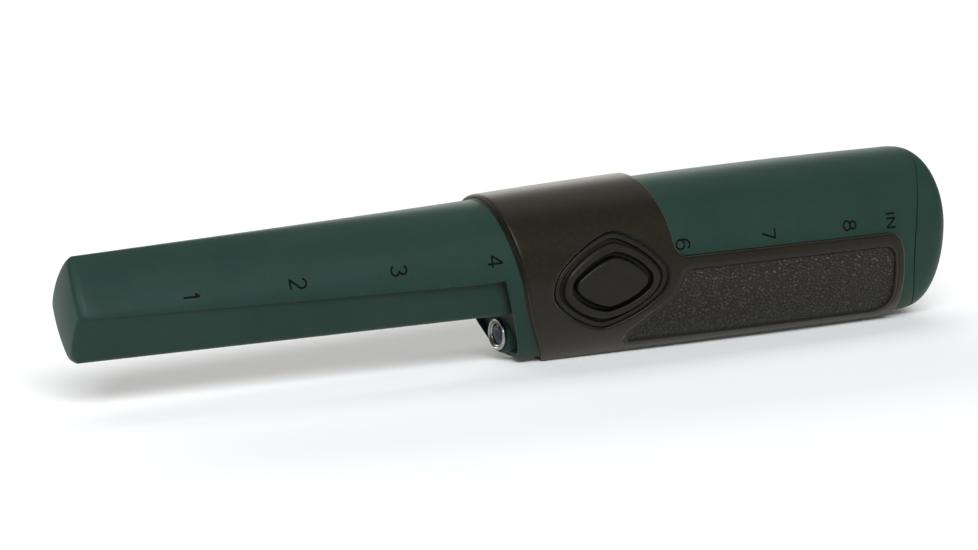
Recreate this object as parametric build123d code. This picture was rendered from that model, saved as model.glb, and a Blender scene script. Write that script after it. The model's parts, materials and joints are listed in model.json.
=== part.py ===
import os
from math import hypot

from build123d import *

os.makedirs("parts", exist_ok=True)

# Millimetres. A station is a distance along the part from the tip of the probe,
# a level is a height from the handle's widest line. X runs from tip to cap, Z is up,
# the button faces -Y, and the origin is under the middle of the part, on the rest plane.

# Lengths along the part
probe_length = 103.2
handle_length = 120.3
dome_length = 15.0
mid_reach = 46.8            # from the shoulder to the handle's middle section

# Outer sections
axis_level = 23.5           # height of the widest line above the rest plane
rubber = 1.2                # thickness of the grip sleeve
tip_half_width = 9.2
tip_rise = 12.8
shoulder_half_width = 16.0
shoulder_rise = 16.65
mid_half_width = 17.6
mid_rise = 18.8
rear_half_width = 17.9
rear_rise = 20.3
flat_half_width = 4.5       # half the flat strip under the handle
round_fullness = 0.5523     # a quarter ellipse
shoulder_fullness = 0.15    # nearly straight flanks under the front of the handle
mid_fullness = 0.42
rear_fullness = 0.55
dome_blunt = 5.4            # exponents of the rear dome's profile
dome_round = 2.4
dome_end_share = 0.2        # size of the dome's flat end against its full section
dome_lift = 0.8             # how far the dome's end lies above the widest line
dome_steps = 10
dome_crowding = 2.5         # how far its sections crowd towards the end

# Probe underside
keel_tip_half_width = 8.95  # at the widest line
keel_root_half_width = 14.6
keel_tip_floor = 4.6        # half width of the underside
keel_root_floor = 9.8
keel_tip_drop = 10.6
keel_root_drop = 10.0
keel_edge_radius = 2.2
tip_crown_radius = 50.0
tip_crown_depth = 3.0
tip_bevel_reach = 2.3       # from the very tip to where its bevel meets the flanks

# Walls and cavity
wall = 2.4
tip_wall = 3.6
mouth_half_width = 15.4     # the cavity's section at the rear
mouth_rise = 15.8
mouth_drop = 18.6
mouth_flat = 4.0

# Front wall of the handle, leaning back towards the bottom
front_lean = 0.45

# Grip sleeve
sleeve_fit = 0.05
collar_front_gap = 4.7      # from the shoulder to the collar, at the widest line
collar_front_top_lean = 0.29
collar_front_low_lean = 0.47
collar_length = 41.4
collar_rear_lean = 0.2
panel_top_level = 1.9
panel_end_setback = 4.1     # from the panel's end to the start of the dome's curve
panel_end_lean = 0.2
panel_inner_radius = 4.5
panel_corner_radius = 5.0
inset_depth = 0.5
inset_border = 3.1          # from the panel's top edge down to the grained inset
inset_floor_level = -20.3
inset_end_border = 3.2
inset_nose_reach = 20.3     # stations of the inset's front end, from the button's centre
inset_waist_reach = 16.7
inset_waist_level = -8.0
inset_toe_reach = 7.7
inset_toe_level = -16.4
inset_nose_radius = 3.0
inset_waist_radius = 8.0
inset_toe_radius = 2.5
inset_heel_radius = 1.4
inset_rear_radius = 4.0

# Push button
button_reach = 28.6         # from the shoulder to the button's centre
button_level = -2.65
diamond_skew = 0.6          # how far the upper and lower corners lie behind the middle
diamond_bow = 0.65          # how far each side swells past a straight line
opening_length = 31.6       # the opening in the sleeve
opening_height = 23.4
opening_radius = 6.5
rim_gap = 0.4               # between the sleeve and the bezel
cap_length = 19.7
cap_height = 11.6
cap_corner_radius = 1.9
groove = 1.4                # between the bezel and the cap
bezel_height = 1.5          # of the ridge round the groove
bezel_ridge_width = 1.9
bezel_shelf_height = 0.8    # of the low rim beside the sleeve
bezel_shelf_width = 1.3
bezel_trough_height = 0.35
button_height = 1.6
button_underside = -0.2
button_travel = 0.8
well_margin = 0.4
well_clearance = 0.2
stem_radius = 2.0
stem_fit = 0.05
stem_boss_radius = 4.5
stem_boss_length = 2.2
seal_section = 1.1

# Switch and circuit board
board_side = -7.0           # Y of the board's outer face
board_thickness = 1.6
board_bottom = -8.5
board_top = 10.0
board_front_reach = 16.6    # from the button's centre forward to the board's front edge
board_rear_gap = 4.0        # from the board to the bulkhead
switch_size = 6.0
switch_height = 3.4
plunger_radius = 1.75
plunger_fit = 0.05
plunger_reach = 1.9         # how far the plunger stands out of the switch
plunger_depth = 0.95
touch_gap = 0.05

# Work light
light_reach = 6.4           # from the shoulder to the bezel's front
light_level = -16.7
light_boss_radius = 5.0
bezel_radius = 3.85
bezel_flange = 1.0
bezel_sleeve_radius = 3.15
bezel_sleeve_length = 4.2
bezel_bore = 2.75
light_fit = 0.05
lens_recess = 0.9
lens_thickness = 1.0
emitter_radius = 2.4
emitter_length = 6.5
emitter_rim = 0.4
light_boss_length = 9.0
light_seal_section = 0.8

# Coil and rod
rod_radius = 4.0
rod_front = 6.0
rod_length = 58.0
rod_level = 1.8
bobbin_length = 20.0
bobbin_wall = 0.8
bobbin_flange_radius = 6.5
coil_radius = 6.0
rod_fit = 0.05

# Chassis
spine_side = 0.6
spine_thickness = 2.0
spine_bottom = -10.5
spine_top = 10.0
bulkhead_thickness = 2.0
mouth_fit = 0.1
nose_half_width = 2.5
nose_thickness = 4.0
rod_sleeve_radius = 5.2
rod_sleeve_length = 14.0
post_radius = 2.4
post_inset = 3.0
post_front_inset = 9.0
rail_inner = 6.6
rail_outer = 12.4
rail_half_height = 3.2

# Batteries and contacts
cell_radius = 7.25
cell_length = 49.5
nub_radius = 2.75
nub_length = 1.0
cell_gap = 0.1
cell_rear_gap = 13.5        # from the cells' rear ends to the start of the dome's curve
contact_thickness = 0.45
contact_half_width = 4.0
contact_bump_radius = 3.0
carrier_thickness = 2.0

# Cap
seam_reach = 0.7            # from the start of the dome's curve to the seam's foremost point
seam_level = -1.5
seam_radius = 33.0
seam_gap = 0.2
plug_wall = 1.6
plug_ledge = 1.0
plug_overlap = 7.6          # how far the plug runs on behind the seam's foremost point
gasket_width = 2.2
gasket_depth = 1.0
gasket_gap = 0.06
gasket_setback = 4.0
pocket_end_wall = 4.0
pocket_share = 0.7
cap_screw_side = 9.0
cap_screw_radius = 1.5
cap_screw_head_radius = 2.75
cap_screw_head_height = 2.2
cap_screw_head_setback = 4.5
cap_screw_boss_radius = 3.9
cap_screw_hole_fit = 0.15
cap_screw_grip = 5.0        # length of shank inside the insert
slot_width = 0.8
slot_depth = 1.0
insert_radius = 2.3
insert_length = 8.0
insert_fit = 0.04
clip_radius = 2.6
clip_thickness = 0.6

# Small screws
small_screw_radius = 1.0
small_head_radius = 1.9
small_head_height = 1.3
small_screw_fit = 0.05
board_screw_length = 5.0
lug_screw_side = 10.0
lug_screw_level = 7.2
lug_screw_length = 6.0
lug_length = 7.0
lug_half_height = 3.0
lug_inner = 8.6

# Motor and sounder
motor_radius = 3.5
motor_length = 14.0
motor_fit = 0.05
motor_level = -2.0
motor_stand = 0.2
shaft_radius = 0.5
shaft_seat = 4.0
weight_radius = 3.1
weight_length = 4.0
weight_gap = 1.2
weight_clearance = 3.0      # from the weight to the bulkhead
saddle_length = 3.0
saddle_half_height = 4.6
saddle_height = 5.4
sounder_radius = 7.5
sounder_height = 3.5
sounder_gap = 1.5

# Small electronic parts
chip_size = 7.0
chip_height = 1.0
chip_gap = 1.0              # from the switch up to the chip
transistor_size = 5.0
transistor_height = 2.2
capacitor_radius = 2.2
capacitor_height = 4.0
capacitor_inset = 3.3
capacitor_spread = 2.9
wire_radius = 0.4
wire_bend = 2.4
lead_pitch = 2.54
lead_side = 1.0
coil_lead_pitch = 1.5
coil_lead_inset = 5.1
light_lead_run = 11.5
battery_lead_spread = 2.0
battery_lead_side = -2.4

# Derived stations and levels
shoulder = probe_length
mid_station = shoulder + mid_reach
dome_start = shoulder + handle_length
overall_length = dome_start + dome_length
body_drop = axis_level - rubber
rear_span = overall_length + wall
seam_station = dome_start + seam_reach
button_station = shoulder + button_reach
light_station = shoulder + light_reach
cell_rear = dome_start - cell_rear_gap
cell_front = cell_rear - cell_length
bulkhead_rear = cell_front - nub_length - touch_gap - contact_thickness
bulkhead_front = bulkhead_rear - bulkhead_thickness
carrier_front = cell_rear + nub_length + touch_gap + contact_thickness
carrier_rear = carrier_front + carrier_thickness
pair_level = (mouth_rise - mouth_drop) / 2
screw_seat = overall_length - cap_screw_head_setback - cap_screw_head_height
board_inner = board_side + board_thickness
board_front = button_station - board_front_reach
board_rear = bulkhead_front - board_rear_gap
spine_outer = spine_side + spine_thickness
wide = 4 * rear_half_width  # a reach that clears the whole part


def at(station):
    return station - overall_length / 2


def spot(station, side, level):
    return (at(station), side, axis_level + level)


def cross_plane(station, level=0.0):
    # local x runs across the part, local y up, seen from the cap
    return Plane(origin=spot(station, 0, level), x_dir=(0, 1, 0), z_dir=(1, 0, 0))


def side_point(station, level):
    return (at(station), axis_level + level)


def block(front, rear, side_a, side_b, bottom, top):
    box = Box(rear - front, side_b - side_a, top - bottom)
    return Pos(spot((front + rear) / 2, (side_a + side_b) / 2, (bottom + top) / 2)) * box


def rod_along(front, rear, radius, side=0.0, level=0.0):
    return Pos(spot((front + rear) / 2, side, level)) * Rot(0, 90, 0) * Cylinder(radius, rear - front)


def rod_across(station, level, side_a, side_b, radius):
    middle = spot(station, (side_a + side_b) / 2, level)
    return Pos(middle) * Rot(90, 0, 0) * Cylinder(radius, side_b - side_a)


def side_prism(face):
    return extrude(Plane.XZ * face, amount=wide, both=True)


def near_prism(face):
    return extrude(Plane.XZ * face, amount=wide)


def slab(front, rear):
    return block(front, rear, -wide, wide, -wide, wide)


def top_edges(half_width, rise):
    k = round_fullness
    right = Bezier((half_width, 0), (half_width, k * rise), (k * half_width, rise), (0, rise))
    left = Bezier((0, rise), (-k * half_width, rise), (-half_width, k * rise), (-half_width, 0))
    return [right, left]


def body_outline(half_width, rise, drop, flat, fullness):
    # two quarter ellipses above, two fuller or flatter flanks and a flat strip below
    bow = flat + fullness * (half_width - flat)
    left = Bezier((-half_width, 0), (-half_width, -fullness * drop), (-bow, -drop), (-flat, -drop))
    strip = Line((-flat, -drop), (flat, -drop))
    right = Bezier((flat, -drop), (bow, -drop), (half_width, -fullness * drop), (half_width, 0))
    return make_face(top_edges(half_width, rise) + [left, strip, right])


def body_face(station, half_width, rise, fullness, offset, size=1.0, level=0.0):
    outline = body_outline(
        size * (half_width + offset),
        size * (rise + offset),
        size * (body_drop + offset),
        size * flat_half_width,
        fullness,
    )
    return cross_plane(station, level) * outline


def handle(offset):
    front = body_face(shoulder, shoulder_half_width, shoulder_rise, shoulder_fullness, offset)
    middle = body_face(mid_station, mid_half_width, mid_rise, mid_fullness, offset)
    rear = body_face(dome_start, rear_half_width, rear_rise, rear_fullness, offset)
    return loft([front, middle, rear])


def dome():
    faces = []
    for step in range(dome_steps + 1):
        along = 1 - (1 - step / dome_steps) ** dome_crowding
        loss = (1 - dome_end_share ** dome_round) * along ** dome_blunt
        size = (1 - loss) ** (1 / dome_round)
        station = dome_start + along * dome_length
        level = dome_lift * along ** 2
        faces.append(body_face(station, rear_half_width, rear_rise, rear_fullness, 0, size, level))
    return loft(faces)


def taper(station, tip_value, shoulder_value):
    return tip_value + (shoulder_value - tip_value) * station / probe_length


def probe_top(front, offset):
    faces = []
    for station in (front, shoulder):
        half_width = taper(station, tip_half_width, shoulder_half_width) + offset
        rise = taper(station, tip_rise, shoulder_rise) + offset
        base = Line((-half_width, 0), (half_width, 0))
        faces.append(cross_plane(station) * make_face(top_edges(half_width, rise) + [base]))
    return loft(faces, ruled=True)


def keel(front, rear, offset, lift):
    # the flat-flanked underside of the probe, carried on into the handle
    faces = []
    for station in (front, rear):
        top = taper(station, keel_tip_half_width, keel_root_half_width) + offset
        floor = taper(station, keel_tip_floor, keel_root_floor) + offset
        drop = taper(station, keel_tip_drop, keel_root_drop) + offset
        right = [(top, lift), (top, 0), (floor, -drop)]
        left = [(-across, up) for across, up in reversed(right)]
        faces.append(cross_plane(station) * make_face(Polyline(*right, *left, close=True)))
    return loft(faces, ruled=True)


def bevel_body():
    # the probe's section, drawn in at the tip and wider than the probe behind its bevel
    faces = []
    for station in (0, 2 * tip_bevel_reach):
        offset = station - tip_bevel_reach
        half_width = taper(station, tip_half_width, shoulder_half_width) + offset
        rise = taper(station, tip_rise, shoulder_rise) + offset
        floor = taper(station, keel_tip_floor, keel_root_floor) + offset
        drop = taper(station, keel_tip_drop, keel_root_drop) + offset
        below = Polyline((-half_width, 0), (-floor, -drop), (floor, -drop), (half_width, 0))
        faces.append(cross_plane(station) * make_face(top_edges(half_width, rise) + list(below.edges())))
    return loft(faces, ruled=True)


def front_wedge(setback):
    # the space under the probe, in front of the handle's leaning front wall
    low = -body_drop - rubber - wall
    top = side_point(shoulder + setback, 0)
    bottom = side_point(shoulder + setback - front_lean * low, low)
    corner = side_point(shoulder - wall, low)
    front = side_point(shoulder - wall, 0)
    return side_prism(make_face(Polyline(front, top, bottom, corner, close=True)))


def probe_shell():
    keel_root = shoulder + front_lean * keel_root_drop + wall
    lower = keel(0, keel_root, 0, wall)
    long_edges = [edge for edge in lower.edges() if edge.length > probe_length]
    low_edges = sorted(long_edges, key=lambda edge: edge.center().Z)[:2]
    shell = probe_top(0, 0) + fillet(low_edges, keel_edge_radius)
    crown = Pos(spot(tip_crown_radius, 0, (tip_rise - keel_tip_drop) / 2)) * Sphere(tip_crown_radius)
    front = slab(-wall, tip_crown_depth) - crown
    return shell - front - (slab(-wall, 2 * tip_bevel_reach) - bevel_body())


def light_boss():
    face = light_station + bezel_flange
    return rod_along(face, face + light_boss_length, light_boss_radius, 0, light_level)


def mouth_face(station, half_width, rise, drop, fullness, offset):
    flat = mouth_flat + offset / 2
    outline = body_outline(half_width + offset, rise + offset, drop + offset, flat, fullness)
    return cross_plane(station) * outline


def mouth(front, rear, offset):
    faces = []
    for station in (front, rear):
        faces.append(mouth_face(station, mouth_half_width, mouth_rise, mouth_drop, rear_fullness, offset))
    return loft(faces, ruled=True)


def handle_room(offset):
    # drawn straight out to the rear, so nothing behind is narrower than what lies in front
    half_width = shoulder_half_width - wall
    rise = shoulder_rise - wall
    front = mouth_face(shoulder, half_width, rise, mouth_drop, shoulder_fullness, offset)
    rear = mouth_face(cell_rear, mouth_half_width, mouth_rise, mouth_drop, rear_fullness, offset)
    return loft([front, rear], ruled=True)


def cavity():
    room = handle_room(0) - front_wedge(wall * hypot(1, front_lean))
    keel_root = shoulder + front_lean * keel_root_drop + 3 * wall
    nose_room = probe_top(tip_wall, -wall) + keel(tip_wall, keel_root, -wall, wall)
    return room + mouth(cell_rear, rear_span, 0) + nose_room


def cap_region(gap):
    # everything behind the seam, which is an arc seen from the side
    centre = side_point(seam_station + seam_radius, seam_level)
    return extrude(Plane.XZ * (Pos(centre) * Circle(seam_radius - gap)), amount=wide, both=True)


def diamond(length, height, radius):
    # four corners joined by bowed sides, then pushed out by the corner radius
    along = length / 2 - radius
    up = height / 2 - radius
    corners = [(-along, 0), (diamond_skew, -up), (along, 0), (diamond_skew, up)]
    ends = corners[1:] + corners[:1]
    sides = [SagittaArc(start, end, -diamond_bow) for start, end in zip(corners, ends)]
    return Pos(side_point(button_station, button_level)) * offset(make_face(sides), amount=radius)


def opening(margin):
    return diamond(opening_length + 2 * margin, opening_height + 2 * margin, opening_radius + margin)


def cap_outline(margin):
    return diamond(cap_length + 2 * margin, cap_height + 2 * margin, cap_corner_radius + margin)


def button_well():
    floor = button_underside - button_travel - well_clearance
    return near_prism(cap_outline(well_margin)) - handle(floor)


def stem_boss():
    outer = rod_across(button_station, button_level, -mid_half_width, seal_side, stem_boss_radius)
    return outer & handle(-wall / 2)


def lugs():
    lug_rear = bulkhead_front
    parts = []
    for side in (-1, 1):
        low, high = sorted((side * lug_inner, side * mid_half_width))
        bar = block(lug_rear - lug_length, lug_rear, low, high, lug_screw_level - lug_half_height,
                    lug_screw_level + lug_half_height)
        hole = rod_along(lug_rear - lug_screw_length - touch_gap, lug_rear,
                         small_screw_radius + small_screw_fit, side * lug_screw_side, lug_screw_level)
        parts.append((bar & handle(-wall / 2)) - hole)
    return parts


def light_bores():
    face = light_station + bezel_flange
    sleeve = rod_along(face, face + light_boss_length, bezel_sleeve_radius + light_fit, 0, light_level)
    way_in = rod_along(light_station - light_boss_radius, face, light_boss_radius, 0, light_level)
    seat_radius = bezel_radius - light_fit
    seat = rod_along(face, face + light_seal_section, seat_radius, 0, light_level)
    return [sleeve, way_in, seat]


# Y of the inner end of the boss that guides the button's stem
button_skin = -(shoulder_half_width + (mid_half_width - shoulder_half_width) * button_reach / mid_reach)
seal_side = button_skin + wall + stem_boss_length


def housing():
    outer = (handle(0) - front_wedge(0)) + dome() + probe_shell()
    shell = outer - cap_region(0) - cavity() - button_well() + light_boss()
    for lug in lugs():
        shell = shell + lug
    shell = shell + stem_boss()
    seal_radius = stem_radius + stem_fit + seal_section
    bore = rod_across(button_station, button_level, -wide, 0, stem_radius + stem_fit)
    seal_seat = rod_across(button_station, button_level, seal_side - seal_section, 0, seal_radius)
    shell = shell - bore - seal_seat
    for hole in light_bores():
        shell = shell - hole
    return shell


def panel_end_point(level, border):
    return side_point(dome_start - panel_end_setback - panel_end_lean * level - border, level)


def sleeve_face():
    top = rear_rise + 2 * rubber
    low = -body_drop - 2 * rubber
    collar = shoulder + collar_front_gap
    front_top = side_point(collar - collar_front_top_lean * top, top)
    front_middle = side_point(collar, 0)
    front_low = side_point(collar - collar_front_low_lean * low, low)
    collar_rear = collar + collar_length
    rear_top = side_point(collar_rear - collar_rear_lean * top, top)
    inner = side_point(collar_rear - collar_rear_lean * panel_top_level, panel_top_level)
    end_top = panel_end_point(panel_top_level, 0)
    end_low = panel_end_point(low, 0)
    front = ThreePointArc(front_low, front_middle, front_top)
    corner_radii = [0, panel_inner_radius, panel_corner_radius, 0]
    rest = FilletPolyline(front_top, rear_top, inner, end_top, end_low, front_low, radius=corner_radii)
    return make_face([front] + list(rest.edges()))


def inset_face():
    high = panel_top_level - inset_border
    corners = [
        side_point(button_station + inset_nose_reach, high),
        side_point(button_station + inset_waist_reach, inset_waist_level),
        side_point(button_station + inset_toe_reach, inset_toe_level),
        side_point(button_station + inset_toe_reach, inset_floor_level),
        panel_end_point(inset_floor_level, inset_end_border),
        panel_end_point(high, inset_end_border),
    ]
    front_radii = [inset_nose_radius, inset_waist_radius, inset_toe_radius, inset_heel_radius]
    radii = front_radii + [inset_rear_radius, inset_rear_radius]
    return make_face(FilletPolyline(*corners, radius=radii, close=True))


def rear_skin(offset):
    # the handle's skin carried on past the start of the dome, for the end of the panel
    rear = body_face(dome_start, rear_half_width, rear_rise, rear_fullness, offset)
    return handle(offset) + extrude(rear, amount=2 * rubber)


def grip_sleeve():
    skin = rear_skin(rubber) - rear_skin(sleeve_fit)
    sleeve = skin & side_prism(sleeve_face())
    sleeve = sleeve - near_prism(opening(0))
    return sleeve - (side_prism(inset_face()) - rear_skin(rubber - inset_depth))


def button_bezel():
    # a low shelf beside the sleeve, a trough, and a ridge round the cap
    shelf = near_prism(opening(-rim_gap)) & handle(bezel_shelf_height)
    trough = near_prism(opening(-rim_gap - bezel_shelf_width)) - handle(bezel_trough_height)
    ridge = near_prism(cap_outline(groove + bezel_ridge_width)) & handle(bezel_height)
    return shelf - trough + ridge - near_prism(cap_outline(groove)) - handle(sleeve_fit)


def button_cap():
    plate = near_prism(cap_outline(0)) & handle(button_height)
    plate = plate - handle(button_underside)
    stem = rod_across(button_station, button_level, button_skin, stem_end, stem_radius)
    return plate + stem


def button_seal():
    inner = rod_across(button_station, button_level, -wide, 0, stem_radius + stem_fit)
    outer = rod_across(button_station, button_level, seal_side - seal_section + stem_fit, seal_side,
                       stem_radius + seal_section)
    return outer - inner


# Y of the stem's inner end, which just meets the switch plunger
plunger_end = board_side - switch_height - plunger_reach
plunger_inner = board_side - switch_height + plunger_depth
stem_end = plunger_end - touch_gap


def switch_body():
    half = switch_size / 2
    body = block(button_station - half, button_station + half, board_side - switch_height, board_side,
                 button_level - half, button_level + half)
    floor = plunger_inner + button_travel + well_clearance
    hole = rod_across(button_station, button_level, -wide, floor, plunger_radius + plunger_fit)
    return body - hole


def switch_plunger():
    return rod_across(button_station, button_level, plunger_end, plunger_inner, plunger_radius)


def led_bezel():
    face = light_station + bezel_flange
    flange = rod_along(light_station, face, bezel_radius, 0, light_level)
    sleeve = rod_along(face, face + bezel_sleeve_length, bezel_sleeve_radius, 0, light_level)
    bore = rod_along(light_station - wall, face + 2 * bezel_sleeve_length, bezel_bore, 0, light_level)
    return flange + sleeve - bore


def led_seal():
    face = light_station + bezel_flange
    rear = face + light_seal_section - light_fit
    outer = rod_along(face, rear, bezel_radius - 2 * light_fit, 0, light_level)
    inner = rod_along(face, face + light_seal_section, bezel_sleeve_radius + light_fit, 0, light_level)
    return outer - inner


def led_lens():
    front = light_station + lens_recess
    return rod_along(front, front + lens_thickness, bezel_bore - light_fit, 0, light_level)


emitter_front = light_station + lens_recess + lens_thickness + touch_gap
emitter_rear = emitter_front + emitter_length


def led_emitter():
    dome_end = Pos(spot(emitter_front + emitter_radius, 0, light_level)) * Sphere(emitter_radius)
    body = rod_along(emitter_front + emitter_radius, emitter_rear, emitter_radius, 0, light_level)
    rim_radius = emitter_radius + emitter_rim
    rim = rod_along(emitter_rear - 2 * emitter_rim, emitter_rear, rim_radius, 0, light_level)
    return body + dome_end + rim


def wire(points):
    path = FilletPolyline(*[spot(*point) for point in points], radius=wire_bend)
    start = path % 0
    section = Plane(origin=path @ 0, z_dir=start) * Circle(wire_radius)
    return sweep(section, path=path)


def led_leads():
    leads = []
    for spacing in (-1, 1):
        level = light_level + spacing * lead_pitch / 2
        bend = emitter_rear + light_lead_run - spacing * lead_pitch / 2
        points = [
            (emitter_rear + touch_gap, -lead_side, level),
            (bend, -lead_side, level),
            (bend, -lead_side, board_bottom + lead_side - spacing + lead_pitch),
            (bend, board_inner + touch_gap, board_bottom + lead_side - spacing + lead_pitch),
        ]
        leads.append(wire(points))
    return Compound(leads)


def ferrite_rod():
    return rod_along(rod_front, rod_front + rod_length, rod_radius, 0, rod_level)


bobbin_rear = rod_front + bobbin_length


def coil_bobbin():
    tube = rod_along(rod_front, bobbin_rear, rod_radius + rod_fit + bobbin_wall, 0, rod_level)
    for front in (rod_front, bobbin_rear - 2 * bobbin_wall):
        tube = tube + rod_along(front, front + 2 * bobbin_wall, bobbin_flange_radius, 0, rod_level)
    return tube - rod_along(0, shoulder, rod_radius + rod_fit, 0, rod_level)


def search_coil():
    front = rod_front + 2 * bobbin_wall + rod_fit
    rear = bobbin_rear - 2 * bobbin_wall - rod_fit
    outer = rod_along(front, rear, coil_radius, 0, rod_level)
    return outer - rod_along(0, shoulder, rod_radius + 2 * rod_fit + bobbin_wall, 0, rod_level)


def coil_leads():
    leads = []
    level = rod_level + rod_sleeve_radius + lead_side
    for spacing in (0, 1):
        side = -lead_side / 2 - spacing * coil_lead_pitch
        bend = board_front + coil_lead_inset - spacing * lead_pitch
        points = [(bobbin_rear, side, level), (bend, side, level), (bend, board_inner + touch_gap, level)]
        leads.append(wire(points))
    return Compound(leads)


def board_holes():
    places = []
    for station in (board_front + post_front_inset, board_rear - post_inset):
        for level in (board_bottom + post_inset, board_top - post_inset):
            places.append((station, level))
    return places


def circuit_board():
    board = block(board_front, board_rear, board_side, board_inner, board_bottom, board_top)
    for station, level in board_holes():
        board = board - rod_across(station, level, -wide, 0, small_screw_radius + small_screw_fit)
    return board


def board_screws():
    screws = []
    for station, level in board_holes():
        head = rod_across(station, level, board_side - small_head_height, board_side, small_head_radius)
        shank = rod_across(station, level, board_side, board_side + board_screw_length, small_screw_radius)
        screws.append(head + shank)
    return Compound(screws)


def controller_chip():
    half = chip_size / 2
    low = button_level + switch_size / 2 + chip_gap
    return block(button_station - half, button_station + half, board_side - chip_height, board_side,
                 low, low + chip_size)


def drive_transistor():
    station = button_station - switch_size / 2 - transistor_size
    half = transistor_size / 2
    outer = board_side - transistor_height
    return block(station - half, station + half, outer, board_side, 0, transistor_size)


def capacitors():
    station = board_front + capacitor_inset
    cans = []
    for level in (-capacitor_spread, capacitor_spread):
        cans.append(rod_across(station, level, board_side - capacitor_height, board_side, capacitor_radius))
    return Compound(cans)


weight_rear = bulkhead_front - weight_clearance
weight_front = weight_rear - weight_length
motor_rear = weight_front - weight_gap
motor_front = motor_rear - motor_length
motor_side = spine_outer + motor_stand + motor_radius
sounder_station = motor_front - sounder_gap - sounder_radius


def vibration_motor():
    body = rod_along(motor_front, motor_rear, motor_radius, motor_side, motor_level)
    bore = rod_along(motor_rear - shaft_seat, motor_rear, shaft_radius + motor_fit, motor_side, motor_level)
    return body - bore


def motor_weight():
    shaft_front = motor_rear - shaft_seat + motor_fit
    shaft = rod_along(shaft_front, weight_rear, shaft_radius, motor_side, motor_level)
    disc = rod_along(weight_front, weight_rear, weight_radius, motor_side, motor_level)
    upper = block(weight_front, weight_rear, motor_side - wide, motor_side + wide,
                  motor_level + 2 * shaft_radius, motor_level + wide)
    return shaft + (disc - upper)


def sounder():
    return rod_across(sounder_station, 0, spine_outer, spine_outer + sounder_height, sounder_radius)


def bulkhead():
    return handle_room(-2 * mouth_fit) & slab(bulkhead_front, bulkhead_rear)


def chassis():
    rod_end = rod_front + rod_length
    spine = block(board_front, bulkhead_front, spine_side, spine_outer, spine_bottom, spine_top)
    nose = block(rod_end + touch_gap, board_front + nose_thickness, -nose_half_width, nose_half_width,
                 rod_level - nose_thickness / 2, rod_level + nose_thickness / 2)
    socket_front = rod_end - rod_sleeve_length
    socket = rod_along(socket_front, rod_end + spine_thickness, rod_sleeve_radius, 0, rod_level)
    frame = spine + nose + socket + bulkhead()
    for station, level in board_holes():
        frame = frame + rod_across(station, level, board_inner, spine_side, post_radius)
        frame = frame - rod_across(station, level, board_side, board_side + board_screw_length + touch_gap,
                                   small_screw_radius + small_screw_fit)
    for front in (motor_front + saddle_length / 2, motor_rear - 1.5 * saddle_length):
        frame = frame + block(front, front + saddle_length, spine_outer, spine_outer + saddle_height,
                              motor_level - saddle_half_height, motor_level + saddle_half_height)
    for side in (-1, 1):
        low, high = sorted((side * rail_inner, side * rail_outer))
        frame = frame + block(bulkhead_rear, cell_rear, low, high, pair_level - rail_half_height,
                              pair_level + rail_half_height)
        frame = frame - rod_along(cell_rear - insert_length, cell_rear, insert_radius + insert_fit,
                                  side * cap_screw_side, pair_level)
        frame = frame - rod_along(bulkhead_front, bulkhead_rear, small_screw_radius + small_screw_fit,
                                  side * lug_screw_side, lug_screw_level)
    frame = frame - rod_along(0, rod_end + touch_gap, rod_radius + rod_fit, 0, rod_level)
    return frame - rod_along(motor_front, motor_rear, motor_radius + motor_fit, motor_side, motor_level)


def chassis_screws():
    screws = []
    for side in (-1, 1):
        head = rod_along(bulkhead_rear, bulkhead_rear + small_head_height, small_head_radius,
                         side * lug_screw_side, lug_screw_level)
        shank = rod_along(bulkhead_front - lug_screw_length, bulkhead_rear, small_screw_radius,
                          side * lug_screw_side, lug_screw_level)
        screws.append(head + shank)
    return Compound(screws)


cell_offset = cell_radius + cell_gap / 2


def battery(upper):
    level = pair_level + (cell_offset if upper else -cell_offset)
    body = rod_along(cell_front, cell_rear, cell_radius, 0, level)
    nub = (cell_front - nub_length, cell_front) if upper else (cell_rear, cell_rear + nub_length)
    return body + rod_along(*nub, nub_radius, 0, level)


def tray_contacts():
    plates = []
    for upper in (True, False):
        level = pair_level + (cell_offset if upper else -cell_offset)
        rear = bulkhead_rear + contact_thickness
        plate = block(bulkhead_rear, rear, -contact_half_width, contact_half_width,
                      level - contact_half_width, level + contact_half_width)
        if not upper:
            plate = plate + rod_along(rear, cell_front - touch_gap, contact_bump_radius, 0, level)
        plates.append(plate)
    return Compound(plates)


def battery_leads():
    leads = []
    for level in (-battery_lead_spread, battery_lead_spread):
        bend = board_rear - 2 * post_inset - post_radius
        points = [
            (bulkhead_front - touch_gap, battery_lead_side, level),
            (bend, battery_lead_side, level),
            (bend, board_inner + touch_gap, level),
        ]
        leads.append(wire(points))
    return Compound(leads)


def cap_contact():
    reach = cell_offset + contact_half_width
    plate = block(carrier_front - contact_thickness, carrier_front, -contact_half_width, contact_half_width,
                  pair_level - reach, pair_level + reach)
    bump = rod_along(cell_rear + touch_gap, carrier_front - contact_thickness, contact_bump_radius, 0,
                     pair_level + cell_offset)
    return plate + bump


def contact_carrier():
    plate = mouth(carrier_front, carrier_rear, -2 * mouth_fit - plug_wall)
    for side in (-1, 1):
        plate = plate - rod_along(carrier_front, carrier_rear, cap_screw_radius + cap_screw_hole_fit,
                                  side * cap_screw_side, pair_level)
    return plate


gasket_front = carrier_front + gasket_setback


def gasket_groove(width, depth, gap):
    middle = gasket_front + gasket_width / 2
    ring = mouth(middle - width / 2, middle + width / 2, -gap)
    return ring - mouth(middle - width / 2, middle + width / 2, -mouth_fit - depth)


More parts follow.
